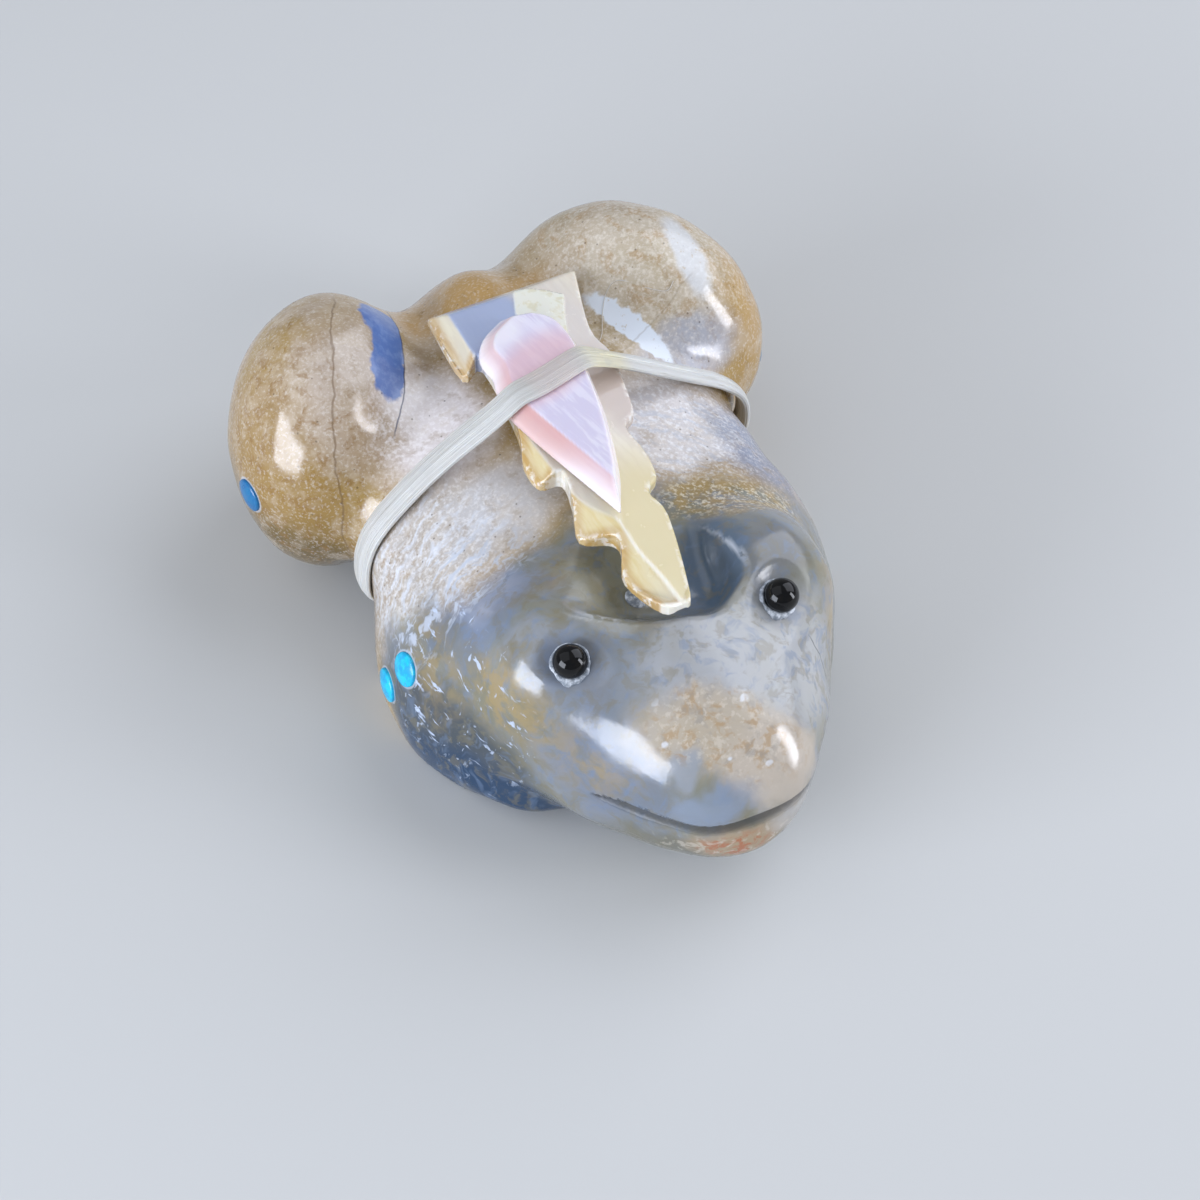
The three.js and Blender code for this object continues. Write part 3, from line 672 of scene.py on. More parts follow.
def stone_material():
    # Polished banded limestone, carved and buffed by hand: sugary crystal grain, golden brown at the
    # back and slate grey towards the head, with marbled borders, thin veins and a wet gloss
    material, tree, shader = new_material("polished_banded_limestone")
    place = drawn_place(tree)
    drifted = shaken(tree, place, 5.0, 1.6)
    wavy = shaken(tree, drifted, 1.2, 0.45)
    ragged = shaken(tree, drifted, 2.2, 1.1)

    colour = lay(tree, "#a3874f", "#b5a084", 1.0, blotches(tree, drifted, 7, 0.42, 0.58))
    for tint, strength, at, half, turn, soft in warm_zones:
        colour = lay(tree, colour, tint, strength, in_zone(tree, wavy, at, half, turn, soft))
    colour = lay(tree, colour, "#cbbca8", 0.35, blotches(tree, wavy, 2.4, 0.48, 0.66))
    colour = lay(tree, colour, "#8a6d3c", 0.35, blotches(tree, wavy, 1.5, 0.50, 0.70))
    on_thigh = in_zone(tree, wavy, (-20, 10, 12), (8, 14, 14), 0, 0.4)
    colour = lay(tree, colour, "#86622c", 0.65, blotches(tree, ragged, 1.1, 0.50, 0.68), on_thigh)
    on_right_thigh = in_zone(tree, wavy, (14, 15, 20), (10, 9, 9), 0, 0.4)
    colour = lay(tree, colour, "#a27a35", 0.45, blotches(tree, ragged, 1.8, 0.52, 0.66), on_right_thigh)
    crystals = blotches(tree, place, 0.40, 0.44, 0.72, 2)
    for tint, strength, at, half in crystal_zones:
        colour = lay(tree, colour, tint, strength, crystals, in_zone(tree, wavy, at, half, 0, 0.4))
    fibrous = streaks(tree, wavy, up_the_shoulder, 4.5, 0.6, 0.42, 0.72)
    on_shoulder = in_zone(tree, wavy, (-14.5, -6.0, 14), (7.5, 6.0, 8), 0, 0.3)
    colour = lay(tree, colour, "#dbe2ee", 0.65, fibrous, on_shoulder)
    waves = streaks(tree, wavy, across_the_back, 5.0, 0.6, 0.46, 0.68)
    on_right_back = in_zone(tree, wavy, (11, -4.0, 17), (9, 5, 7), 0, 0.3)
    colour = lay(tree, colour, "#9da6b8", 0.45, waves, on_right_back)
    colour = lay(tree, colour, "#ece8e2", 0.30, blotches(tree, place, 0.26, 0.50, 0.72, 2))
    colour = lay(tree, colour, "#4a3820", 0.55, specks(tree, place, 0.85, 0.26, 0.40))

    slate = lay(tree, "#808073", "#868c96", 0.9, blotches(tree, drifted, 4.5, 0.38, 0.66))
    slate = lay(tree, slate, "#8b887e", 0.35, blotches(tree, wavy, 2.4, 0.46, 0.72))
    slate = lay(tree, slate, "#7f765a", 0.60, blotches(tree, ragged, 2.8, 0.47, 0.66))
    for tint, strength, at, half, turn, soft in head_zones:
        slate = lay(tree, slate, tint, strength, in_zone(tree, wavy, at, half, turn, soft))
    slate = lay(tree, slate, "#7b7359", 0.40, blotches(tree, ragged, 1.6, 0.50, 0.64))
    slate = lay(tree, slate, "#6a7f9d", 0.40, streaks(tree, ragged, up_the_cheek, 2.6, 1.1, 0.50, 0.70))
    for strength, at, half, turn, soft in ochre_zones:
        broken = blotches(tree, wavy, 1.8, 0.36, 0.62)
        slate = lay(tree, slate, "#a38b58", strength, broken, in_zone(tree, wavy, at, half, turn, soft))
    bands = streaks(tree, shaken(tree, place, 3.0, 1.0), (0.96, -0.2, -0.3), 7.0, 0.45, 0.46, 0.60)
    on_band = in_zone(tree, wavy, (10.2, -11.6, 16), (6.6, 3.8, 7), -4, 0.3)
    slate = lay(tree, slate, "#8d7440", 0.4, bands, on_band)
    slate = lay(tree, slate, "#ece4cf", 0.6, blotches(tree, place, 0.36, 0.48, 0.66, 2), on_band)
    for tint, strength, at, half, turn, soft in snout_zones:
        slate = lay(tree, slate, tint, strength, in_zone(tree, ragged, at, half, turn, soft))
    on_snout = in_zone(tree, ragged, (-0.6, -32.6, 17), (6.0, 3.2, 6), -30, 0.3)
    slate = lay(tree, slate, "#a37d42", 0.5, blotches(tree, wavy, 1.3, 0.48, 0.64), on_snout)
    slate = lay(tree, slate, "#8e8b86", 0.5, blotches(tree, drifted, 1.7, 0.52, 0.66), on_snout)
    slate = lay(tree, slate, "#d6cdbf", 0.4, blotches(tree, place, 0.5, 0.50, 0.68, 2), on_snout)
    slate = lay(tree, slate, "#dfe4ec", 0.7, specks(tree, ragged, 1.6, 0.9, 0.22), on_snout)
    below_lips = in_zone(tree, wavy, (0, -37, 7), (9, 6, 3.4), 0, 0.3)
    on_jaw = in_zone(tree, wavy, (-2.0, -38.4, 8.6), (2.8, 3.0, 1.6), 0, 0.5)
    slate = lay(tree, slate, "#ab5f38", 0.8, blotches(tree, wavy, 0.9, 0.42, 0.60), on_jaw)
    slate = lay(tree, slate, "#cfc6b8", 0.5, blotches(tree, ragged, 1.0, 0.52, 0.66), below_lips)
    for at, half, turn, soft in grey_zones:
        colour = lay(tree, colour, slate, 1.0, in_zone(tree, ragged, at, half, turn, soft))

    marbling = streaks(tree, ragged, up_the_shoulder, 4.0, 0.6, 0.50, 0.66)
    on_border = in_zone(tree, wavy, (-13.5, -9.5, 14), (8, 3.2, 8), 0, 0.4)
    colour = lay(tree, colour, "#bdc5d3", 0.8, marbling, on_border)
    on_cheek = in_zone(tree, drifted, (-16, -16.5, 11), (6.5, 8.5, 9), 0, 0.25)
    bent = shaken(tree, place, 1.6, 0.5)
    clusters = blotches(tree, drifted, 2.8, 0.42, 0.58)
    for direction in (up_the_cheek, down_the_cheek):
        flecks = streaks(tree, bent, direction, 3.2, 0.7, 0.62, 0.69)
        colour = lay(tree, colour, "#c6d4ec", 0.8, flecks, clusters, on_cheek)
    crumbled = shaken(tree, place, 0.9, 0.5)
    for tint, strength, at, half, turn, soft in patch_zones:
        broken = blotches(tree, place, 0.5, 0.26, 0.38)
        patch = in_zone(tree, crumbled, at, half, turn, soft)
        colour = lay(tree, colour, tint, strength, broken, patch)
    meandering = shaken(tree, place, 2.0, 0.2)
    past_vein = from_sheet(tree, meandering, blue_patch_vein)
    beside_vein = add(tree, "ShaderNodeMath", {0: past_vein, 1: 0.0}, operation="LESS_THAN").outputs[0]
    cloudy = lay(tree, "#4c70b4", "#6685c0", 0.8, blotches(tree, place, 0.8, 0.42, 0.66))
    for at, half, turn, soft in blue_lobes:
        lobe = in_zone(tree, crumbled, at, half, turn, soft)
        colour = lay(tree, colour, cloudy, 0.95, lobe, beside_vein)

    for tint, strength, width, middle, reach, through in stone_veins:
        region = in_zone(tree, place, middle, [reach] * 3, 0, 0.1)
        course = meandering if through is blue_patch_vein else shaken(tree, place, 3.0, 0.7)
        colour = lay(tree, colour, tint, strength, on_sheet(tree, course, through, width), region)
    for seat in inlay_seats.values():
        around = in_zone(tree, place, seat[0], [inlay_radius + bruised_ring] * 3, 0, 0.05)
        colour = lay(tree, colour, "#c9d3e0", 0.5, around)
    # Painted shade in the dish round each eye
    for seat in eye_seats.values():
        socket = in_zone(tree, wavy, seat[0], [shaded_socket] * 3, 0, 0.5)
        colour = lay(tree, colour, "#3f4b60", 0.5, socket)
    in_mouth, on_rim = [
        add(tree, "ShaderNodeAttribute", attribute_name=name).outputs["Fac"]
        for name in ("in_mouth", "on_rim")
    ]
    # Painted shade in the mouth's groove
    colour = lay(tree, colour, "#202325", 0.75, in_mouth)
    # Painted highlight: a pale glint along the scoop's rim, in two places
    for at in rim_glints:
        glinting = in_zone(tree, place, at, [rim_glint_half] * 3, 0, 0.4)
        colour = lay(tree, colour, "#d3dae4", 0.8, on_rim, glinting, blotches(tree, place, 1.2, 0.42, 0.56))
    tree.links.new(colour, shader.inputs["Base Color"])

    rough = add(tree, "ShaderNodeMath", {0: in_mouth, 1: 0.7}, operation="MULTIPLY").outputs[0]
    rough = {0: rough, 1: uneven_gloss(tree, place, 1.1, 0.11, 0.23)}
    rough = add(tree, "ShaderNodeMath", rough, operation="MAXIMUM").outputs[0]
    tree.links.new(rough, shader.inputs["Roughness"])
    grain = add(tree, "ShaderNodeTexNoise", {"Vector": place, "Scale": 2.6, "Detail": 4}).outputs["Fac"]
    slight = {"Height": grain, "Strength": 0.3, "Distance": 0.03 * millimetre}
    tree.links.new(add(tree, "ShaderNodeBump", slight).outputs[0], shader.inputs["Normal"])
    shader.inputs["IOR"].default_value = 1.66
    return material


def jet_material():
    # Jet, turned and polished: near black with a faint brown cast, and a gloss like glass
    material, tree, shader = new_material("polished_jet")
    place = drawn_place(tree)
    colour = lay(tree, "#030406", "#0c0a09", 1.0, blotches(tree, place, 0.8, 0.45, 0.65))
    tree.links.new(colour, shader.inputs["Base Color"])
    tree.links.new(uneven_gloss(tree, place, 0.5, 0.04, 0.10), shader.inputs["Roughness"])
    shader.inputs["IOR"].default_value = 1.4
    return material


def turquoise_material():
    # Block turquoise, cut low and polished: clear sky blue, clouded, with painted shade darkening it at
    # the thighs
    material, tree, shader = new_material("polished_turquoise")
    place = drawn_place(tree)
    colour = lay(tree, "#02a2d2", "#14cbec", 0.8, blotches(tree, place, 1.0, 0.42, 0.62))
    colour = lay(tree, colour, "#0d6fb4", 0.5, blotches(tree, place, 0.6, 0.60, 0.72))
    # Painted shade on the inlays at the thighs
    colour = lay(tree, colour, "#065290", 0.85, in_zone(tree, place, (0, 12, 12), (40, 8, 8)))
    tree.links.new(colour, shader.inputs["Base Color"])
    tree.links.new(uneven_gloss(tree, place, 0.6, 0.15, 0.28), shader.inputs["Roughness"])
    shader.inputs["IOR"].default_value = 1.61
    return material


def nacre(name):
    """A shell material: light goes a little way into it, and its polish has a wet coat."""
    material, tree, shader = new_material(name)
    shader.inputs["IOR"].default_value = 1.53
    shader.inputs["Subsurface Weight"].default_value = 0.25
    shader.inputs["Subsurface Radius"].default_value = (1.0, 0.75, 0.5)
    shader.inputs["Subsurface Scale"].default_value = 0.8 * millimetre
    shader.inputs["Coat Weight"].default_value = 0.4
    shader.inputs["Coat Roughness"].default_value = 0.08
    return material, tree, shader


def gold_lip_material():
    # Gold-lip oyster shell, sawn and filed to bevels: cream nacre in fine growth layers, amber where
    # the file has cut through the layers at the edge, blue-grey where the nacre is thickest
    material, tree, shader = nacre("filed_gold_lip_shell")
    place = drawn_place(tree)
    wavy = shaken(tree, place, 2.0, 0.4)
    from_edge, left_bevel, right_bevel, crest, flake = [
        add(tree, "ShaderNodeAttribute", attribute_name=name).outputs["Fac"]
        for name in ("from_edge", "left_bevel", "right_bevel", "crest", "flake")
    ]
    layers = streaks(tree, wavy, (0.18, -0.98, -0.1), 7.0, 0.6, 0.36, 0.68)
    colour = lay(tree, "#dcd3c2", "#e6dfce", 0.8, layers)
    colour = lay(tree, colour, "#d9d2ce", 0.8, in_zone(tree, wavy, (5, 3, 0), (3.5, 10, 60), 5, 0.4))
    colour = lay(tree, colour, "#e4dcbc", 0.8, in_zone(tree, wavy, (1.5, -17, 0), (5, 8, 60), 0, 0.25))
    colour = lay(tree, colour, "#cfc6b0", 0.6, left_bevel)
    on_wings = in_zone(tree, wavy, (-3.5, -10, 0), (6, 13, 60), 0, 0.2)
    colour = lay(tree, colour, "#d8c488", 0.8, left_bevel, on_wings)
    outer = {0: from_edge, from_low: 1.0, from_high: 0.2}
    outer_layers = add(tree, "ShaderNodeMapRange", outer, interpolation_type="SMOOTHSTEP").outputs[0]
    colour = lay(tree, colour, "#b98f48", 0.75, left_bevel, outer_layers)
    on_tip = in_zone(tree, wavy, (2.5, -16, 0), (5, 9, 60), 0, 0.3)
    over_stone = in_zone(tree, wavy, (5.0, -1.5, 0), (2.6, 6, 60), 5, 0.4)
    colour = lay(tree, colour, "#bfada2", 0.7, over_stone)
    colour = lay(tree, colour, "#d0c08c", 0.8, right_bevel, on_tip)
    colour = lay(tree, colour, "#e6dfc4", 0.35, left_bevel, layers)
    flat = add(tree, "ShaderNodeMath", {0: 1.0, 1: left_bevel}, operation="SUBTRACT").outputs[0]
    blue_nacre = in_zone(tree, wavy, (-3.0, 10.0, 0), (4.8, 4.6, 60), 20, 0.2)
    colour = lay(tree, colour, "#98a8cc", 0.85, blue_nacre, flat)
    colour = lay(tree, colour, "#e9e9dc", 0.9, flake)
    colour = lay(tree, colour, "#cfc390", 0.4, flake, blotches(tree, wavy, 1.2, 0.5, 0.65))
    edge = {0: from_edge, from_low: 0.5, from_high: 0.1}
    near_edge = add(tree, "ShaderNodeMapRange", edge).outputs[0]
    colour = lay(tree, colour, "#f3f1ec", 0.6, near_edge, blotches(tree, place, 1.0, 0.5, 0.6))
    # Painted highlight along the crest, which is also worn pale
    colour = lay(tree, colour, "#faf6ea", 0.8, crest)
    tree.links.new(colour, shader.inputs["Base Color"])
    tree.links.new(uneven_gloss(tree, place, 1.0, 0.12, 0.28), shader.inputs["Roughness"])
    return material


def pink_shell_material():
    # Pink conch shell, sawn and filed: lilac-white on the polished face, salmon where the bevel cuts
    # across the layers
    material, tree, shader = nacre("filed_pink_conch_shell")
    place = drawn_place(tree)
    wavy = shaken(tree, place, 2.0, 0.3)
    from_edge, left_bevel, right_bevel = [
        add(tree, "ShaderNodeAttribute", attribute_name=name).outputs["Fac"]
        for name in ("from_edge", "left_bevel", "right_bevel")
    ]
    layers = streaks(tree, wavy, (0.25, -0.96, -0.1), 6.0, 0.6, 0.42, 0.62)
    colour = lay(tree, "#d9d2e6", "#e9e5f2", 0.8, layers)
    # Paler at the round base: pinkish-white nacre with a painted sheen
    at_base = in_zone(tree, wavy, (-2.6, 7.0, 0), (2.4, 2.4, 60), 0, 0.4)
    colour = lay(tree, colour, "#f2eef4", 0.8, at_base)
    under_tie = in_zone(tree, wavy, (-1.0, 1.6, 0), (5.2, 3.3, 60), 28, 0.3)
    colour = lay(tree, colour, "#e3b4b8", 0.6, under_tie)
    below_tie = in_zone(tree, wavy, (-3.3, -3.5, 0), (1.9, 5.5, 60), 20, 0.5)
    colour = lay(tree, colour, "#dab4b2", 0.7, left_bevel)
    # Painted highlight along the right bevel
    colour = lay(tree, colour, "#f6eff2", 0.7, right_bevel)
    # Whitish at the edge: chipped layers, with a painted highlight
    edge = {0: from_edge, from_low: 0.9, from_high: 0.15}
    near_edge = add(tree, "ShaderNodeMapRange", edge).outputs[0]
    colour = lay(tree, colour, "#f4ecee", 0.9, near_edge)
    colour = lay(tree, colour, "#cf948a", 0.6, left_bevel, below_tie)
    tree.links.new(colour, shader.inputs["Base Color"])
    tree.links.new(uneven_gloss(tree, place, 1.0, 0.10, 0.22), shader.inputs["Roughness"])
    return material


def sinew_material():
    # Waxed sinew, split into fibres and drawn tight: yellowish white, a little see-through, each fibre
    # with its own tone, and a dull waxy shine
    material, tree, shader = new_material("waxed_sinew")
    place = drawn_place(tree)
    strand = add(tree, "ShaderNodeAttribute", attribute_name="strand").outputs["Fac"]
    tone = add(tree, "ShaderNodeTexWhiteNoise", {"W": strand}, noise_dimensions="1D").outputs["Value"]
    colour = lay(tree, "#d5d0c8", "#ece8e1", 0.7, tone)
    # Darker bands across the width: painted shade of folds in the band
    across = add(tree, "ShaderNodeTexNoise", {"W": strand, "Scale": 2.2}, noise_dimensions="1D")
    fold = {0: across.outputs["Fac"], from_low: 0.45, from_high: 0.62}
    colour = lay(tree, colour, "#b3aca0", 0.5, add(tree, "ShaderNodeMapRange", fold).outputs[0])
    over_pink = in_zone(tree, place, (-0.6, 1.0, 24), (3.8, 4, 3), 0, 0.2)
    over_gold = in_zone(tree, place, (4.4, 1.0, 23), (2.4, 4, 4), 0, 0.4)
    colour = lay(tree, colour, "#dcc6bd", 0.6, over_pink)
    colour = lay(tree, colour, "#efe3bd", 0.8, over_gold)
    colour = lay(tree, colour, "#c2bdb6", 0.25, blotches(tree, place, 1.6, 0.5, 0.66))
    # Painted light on the band where it runs down the frog's left side
    colour = lay(tree, colour, "#f4f1ea", 0.7, in_zone(tree, place, (12, 1.5, 19), (6, 6, 8), 0, 0.3))
    tree.links.new(colour, shader.inputs["Base Color"])
    tree.links.new(uneven_gloss(tree, place, 1.2, 0.28, 0.45), shader.inputs["Roughness"])
    shader.inputs["IOR"].default_value = 1.46
    shader.inputs["Subsurface Weight"].default_value = 0.35
    shader.inputs["Subsurface Radius"].default_value = (1.0, 0.7, 0.5)
    shader.inputs["Subsurface Scale"].default_value = 0.6 * millimetre
    return material


def glue_material():
    # Set clear glue with stone dust in it: greyish white, lumpy and half glossy
    material, tree, shader = new_material("set_clear_glue")
    place = drawn_place(tree)
    colour = lay(tree, "#7f8791", "#d6dce4", 1.0, blotches(tree, place, 0.5, 0.40, 0.70))
    tree.links.new(colour, shader.inputs["Base Color"])
    tree.links.new(uneven_gloss(tree, place, 0.4, 0.12, 0.40), shader.inputs["Roughness"])
    lumps = {"Height": blotches(tree, place, 0.3, 0.35, 0.65), "Strength": 0.6}
    relief = add(tree, "ShaderNodeBump", {**lumps, "Distance": 0.03 * millimetre})
    tree.links.new(relief.outputs[0], shader.inputs["Normal"])
    shader.inputs["IOR"].default_value = 1.48
    return material


def matt_floor():
    # Matt painted board: pale grey without gloss
    material, tree, shader = new_material("matt_pale_board")
    shader.inputs["Base Color"].default_value = linear(floor_colour)
    shader.inputs["Roughness"].default_value = 0.9
    return material


def inlay_seat(side, back, height):
    return meet_stone((side * well_outside, back, height), (-side, 0, 0))


inlay_seats = {
    (name, where): inlay_seat(side, *at)
    for name, side in sides_of_frog.items()
    for where, at in inlay_places[name].items()
}

stone = stone_material()
jet = jet_material()
turquoise = turquoise_material()
gold_lip = gold_lip_material()
pink_shell = pink_shell_material()
sinew = sinew_material()
glue = glue_material()


# The stone

corners, faces, normals = skin(to_stone, stone_low, stone_high, stone_cell)
stone_corners = corners
# How deep each corner lies in the mouth's groove, for its painted shade
in_mouth = np.clip(1 - with_lips(*corners.T)[1] / mouth_shade_reach, 0, 1)
# How near each corner lies to the scoop's rim, for its painted highlight
from_rim = np.hypot(to_scoop(*corners.T), to_body(*corners.T))
on_rim = np.clip((rim_glint_reach - from_rim) / rim_glint_fade, 0, 1)
# Masks for the painted shade in the mouth and the painted highlight on the scoop's rim
wear_and_painted_light = {"in_mouth": in_mouth, "on_rim": on_rim}
piece_of("stone_frog", corners, faces, stone, ["frog_body"], normals, wear_and_painted_light)


# Turned pieces: beads and inlays

def turned(profile, seat, segments=48):
    """Corners and faces of a shape turned about the way out of the stone at a seat."""
    point, normal = seat
    turn = np.array(Vector((0, 0, 1)).rotation_difference(Vector(normal)).to_matrix())
    corners = [np.array([0, 0, profile[0][1]])]
    for radius, height in profile[1:-1]:
        for n in range(segments):
            angle = 2 * math.pi * n / segments
            corners.append(np.array([radius * math.cos(angle), radius * math.sin(angle), height]))
    corners.append(np.array([0, 0, profile[-1][1]]))
    last = len(corners) - 1
    rings = len(profile) - 2
    faces = []
    for n in range(segments):
        after = (n + 1) % segments
        faces.append([0, 1 + after, 1 + n])
        for ring in range(rings - 1):
            lower = 1 + ring * segments
            upper = lower + segments
            faces.append([lower + n, lower + after, upper + after, upper + n])
        top = 1 + (rings - 1) * segments
        faces.append([top + n, top + after, last])
    return np.array(corners) @ turn.T + point, faces


def eye_bead(name):
    profile = [(0, bead_radius * math.sin(math.radians(bead_foot_angle)))]
    for ring in range(bead_rings):
        angle = math.radians(bead_foot_angle + (90 - bead_foot_angle) * ring / bead_rings)
        profile.append((bead_radius * math.cos(angle), bead_radius * math.sin(angle)))
    profile.append((0, bead_radius))
    lifted = [(radius, height + bead_shows - bead_radius) for radius, height in profile]
    corners, faces = turned(lifted, eye_seats[name])
    return piece_of(f"{name}_jet_bead", corners, faces, jet, [f"{name}_eye_bead"])


for name in sides_of_frog:
    eye_bead(name)


def inlay(name, where):
    edge = inlay_shows - inlay_dome
    foot = inlay_shows - inlay_thickness
    profile = [(0, foot), (inlay_radius, foot), (inlay_radius, edge - inlay_edge_round)]
    for step in range(inlay_steps):
        share = 1 - step / inlay_steps
        profile.append((inlay_radius * share * inlay_crown_share, edge + inlay_dome * (1 - share**2)))
    profile.append((0, inlay_shows))
    corners, faces = turned(profile, inlay_seats[name, where])
    return piece_of(
        f"{name}_{where}_turquoise", corners, faces, turquoise, [f"{name}_{where}_inlay"]
    )


for name, where in inlay_seats:
    inlay(name, where)


# Shell points

def ramp(value, low, high):
    share = np.clip((value - low) / (high - low), 0, 1)
    return share**2 * (3 - 2 * share)


def curved(points, steps=4):
    """A smooth line through points, with its two ends kept."""
    points = np.array(points, float)
    padded = np.vstack([2 * points[0] - points[1], points, 2 * points[-1] - points[-2]])
    line = []
    for n in range(len(points) - 1):
        before, start, end, after = padded[n:n + 4]
        for step in range(steps):
            t = step / steps
            line.append(0.5 * (
                2 * start + (end - before) * t + (2 * before - 5 * start + 4 * end - after) * t**2
                + (3 * start - before - 3 * end + after) * t**3
            ))
    return np.array([*line, points[-1]])


def to_line(x, y, line):
    """Distance in plan to a line of straight stretches."""
    nearest = np.full(np.broadcast(x, y).shape, np.inf)
    for (ax, ay), (bx, by) in zip(line[:-1], line[1:]):
        dx, dy = bx - ax, by - ay
        share = np.clip(((x - ax) * dx + (y - ay) * dy) / (dx * dx + dy * dy), 0, 1)
        nearest = np.minimum(nearest, (x - ax - share * dx) ** 2 + (y - ay - share * dy) ** 2)
    return np.sqrt(nearest)


def is_within(x, y, outline):
    inside = np.zeros(np.broadcast(x, y).shape, bool)
    for (ax, ay), (bx, by) in zip(outline, np.roll(outline, -1, axis=0)):
        if ay == by:
            continue
        crossed = (ay > y) != (by > y)
        inside ^= crossed & (x < ax + (y - ay) * (bx - ax) / (by - ay))
    return inside


def on_flake(x, y, outline):
    """One on the flake, falling to nothing over its edge."""
    closed = np.vstack([outline, outline[:1]])
    near = to_line(x, y, closed)
    return np.clip(np.where(is_within(x, y, outline), near, -near) / flake_edge + 0.5, 0, 1)


def shell_point(name, point, rests_at, material, node, flake=None):
    left = curved([*point["left_side"], point["tip"]])
    right = curved([*point["right_side"], point["tip"]])
    base = np.array([point["left_side"][0], point["right_side"][0]])
    outline = np.vstack([right, left[::-1][1:]])
    sound_left = curved([*point.get("left_before_chips", point["left_side"]), point["tip"]])
    sound_right = curved([*point.get("right_before_chips", point["right_side"]), point["tip"]])
    soft = point["soft"]

    def rises(x, y):
        """How high the top stands over the plate's foot by each of its sloping sides."""
        gaps = [to_line(x, y, line) for line in (sound_left, sound_right, base)]
        eased = ramp(y, *point["eases_along"]) if "eases_along" in point else 0
        pairs = zip(point["slopes"], point.get("tip_slopes", point["slopes"]))
        slopes = [at_base + (at_tip - at_base) * eased for at_base, at_tip in pairs]
        return [point["edge"] + slope * gap for gap, slope in zip(gaps, slopes)]

    def to_edge(x, y):
        return np.min([to_line(x, y, line) for line in (left, right, base)], axis=0)

    def to_plate(x, y, z):
        heights = rises(x, y)
        nearest = to_edge(x, y)
        sideways = np.where(is_within(x, y, outline), -nearest, nearest)
        top = point["thickness"] + 0 * nearest
        for height in heights:
            top = joined(top, height, 2 * soft)
        if flake is not None:
            top = top + flake_height * on_flake(x, y, flake)
        height = z - rests_at
        plate = -joined(-sideways, top - height, 2 * soft)
        return -joined(-plate, height, soft)

    low = (*outline.min(axis=0) - 1, rests_at - 0.5)
    high = (*outline.max(axis=0) + 1, rests_at + point["thickness"] + 0.5)
    corners, faces, normals = skin(to_plate, low, high, plate_cell)
    x, y, _ = corners.T
    by_left, by_right, _ = rises(x, y)
    top = point["thickness"]
    at_crest = np.abs(by_left - by_right) + np.maximum(by_left - top, 0)
    attributes = {
        "from_edge": to_edge(x, y),
        "left_bevel": np.clip((np.minimum(by_right, top) - by_left) / bevel_line + 0.5, 0, 1),
        "right_bevel": np.clip((np.minimum(by_left, top) - by_right) / bevel_line + 0.5, 0, 1),
        "crest": np.clip(1.5 - at_crest / crest_line, 0, 1),
    }
    if flake is not None:
        attributes["flake"] = on_flake(x, y, flake)
    piece_of(name, corners, faces, material, [node], normals, attributes)
    return corners


gold_corners = shell_point(
    "gold_lip_shell", gold_point, gold_rests_at, gold_lip, "gold_lip_point",
    flake_outline,
)
pink_corners = shell_point(
    "pink_shell", pink_point, pink_rests_at, pink_shell, "pink_shell_point"
)


# Sinew. The band lies in an upright sheet across the waist, in which u runs to the frog's left; v
# runs out of the sheet towards the tail

def drawn_forward(u, z):
    beside_shell = np.exp(-(((u - sinew_drawn_at) / sinew_drawn_over) ** 2))
    return -sinew_draw * beside_shell * ramp(z, *sinew_drawn_above)


def sheet_axes():
    turn = math.radians(sinew_turn)
    return np.array([math.cos(turn), math.sin(turn), 0]), np.array([-math.sin(turn), math.cos(turn), 0])


def evenly(line, count):
    """Points at even distances along a line, without its last point."""
    lengths = np.linalg.norm(np.diff(line, axis=0), axis=1)
    far = np.concatenate([[0], np.cumsum(lengths)])
    wanted = np.linspace(0, far[-1], count, endpoint=False)
    return np.stack([np.interp(wanted, far, column) for column in line.T], axis=1)


def taut_line(corners):
    """The closed line, in u and z, of a band drawn tight round corners at a clearance."""
    along, across = sheet_axes()
    from_waist = corners - (0, waist_at, 0)
    u, v, z = from_waist @ along, from_waist @ across, corners[:, 2]
    under = np.abs(v - drawn_forward(u, z)) < sinew_width / 2
    angles = np.linspace(0, 2 * math.pi, sinew_directions, endpoint=False)
    out = np.stack([np.cos(angles), np.sin(angles)])
    reach = (np.stack([u[under], z[under]], axis=1) @ out).max(axis=0) + sinew_clearance
    next_out, next_reach = np.roll(out, -1, axis=1), np.roll(reach, -1)
    spread = out[0] * next_out[1] - out[1] * next_out[0]
    line = np.stack([
        (reach * next_out[1] - next_reach * out[1]) / spread,
        (next_reach * out[0] - reach * next_out[0]) / spread,
    ], axis=1)
    line = evenly(np.vstack([line, line[:1]]), sinew_steps)
    for _ in range(sinew_smoothing):
        line = (np.roll(line, 1, axis=0) + 2 * line + np.roll(line, -1, axis=0)) / 4
    return line


def fibre_path(name, points, out, across, half_width, parting, is_closed):
    """A line of points, each of which says how a bundle of fibres spreads there."""
    count = len(points)
    edges = [(n, n + 1) for n in range(count - 1)]
    if is_closed:
        edges.append((count - 1, 0))
    mesh = bpy.data.meshes.new(name)
    mesh.from_pydata(into_frame(points).tolist(), edges, [])
    for key, values in (("out", out), ("across", across)):
        mesh.attributes.new(key, "FLOAT_VECTOR", "POINT").data.foreach_set("vector", values.ravel())
    for key, values in (("half_width", half_width), ("parting", parting)):
        mesh.attributes.new(key, "FLOAT", "POINT").data.foreach_set("value", values * millimetre)
    return bpy.data.objects.new(name, mesh)


fibre_inputs = {
    "Fibres": ("NodeSocketInt", 1),
    "Fibre radius": ("NodeSocketFloat", 0.0001),
    "Thickness": ("NodeSocketFloat", 0.0),
    "Wander": ("NodeSocketFloat", 0.0),
    "Wander length": ("NodeSocketFloat", 0.005),
    "Material": ("NodeSocketMaterial", None),
}


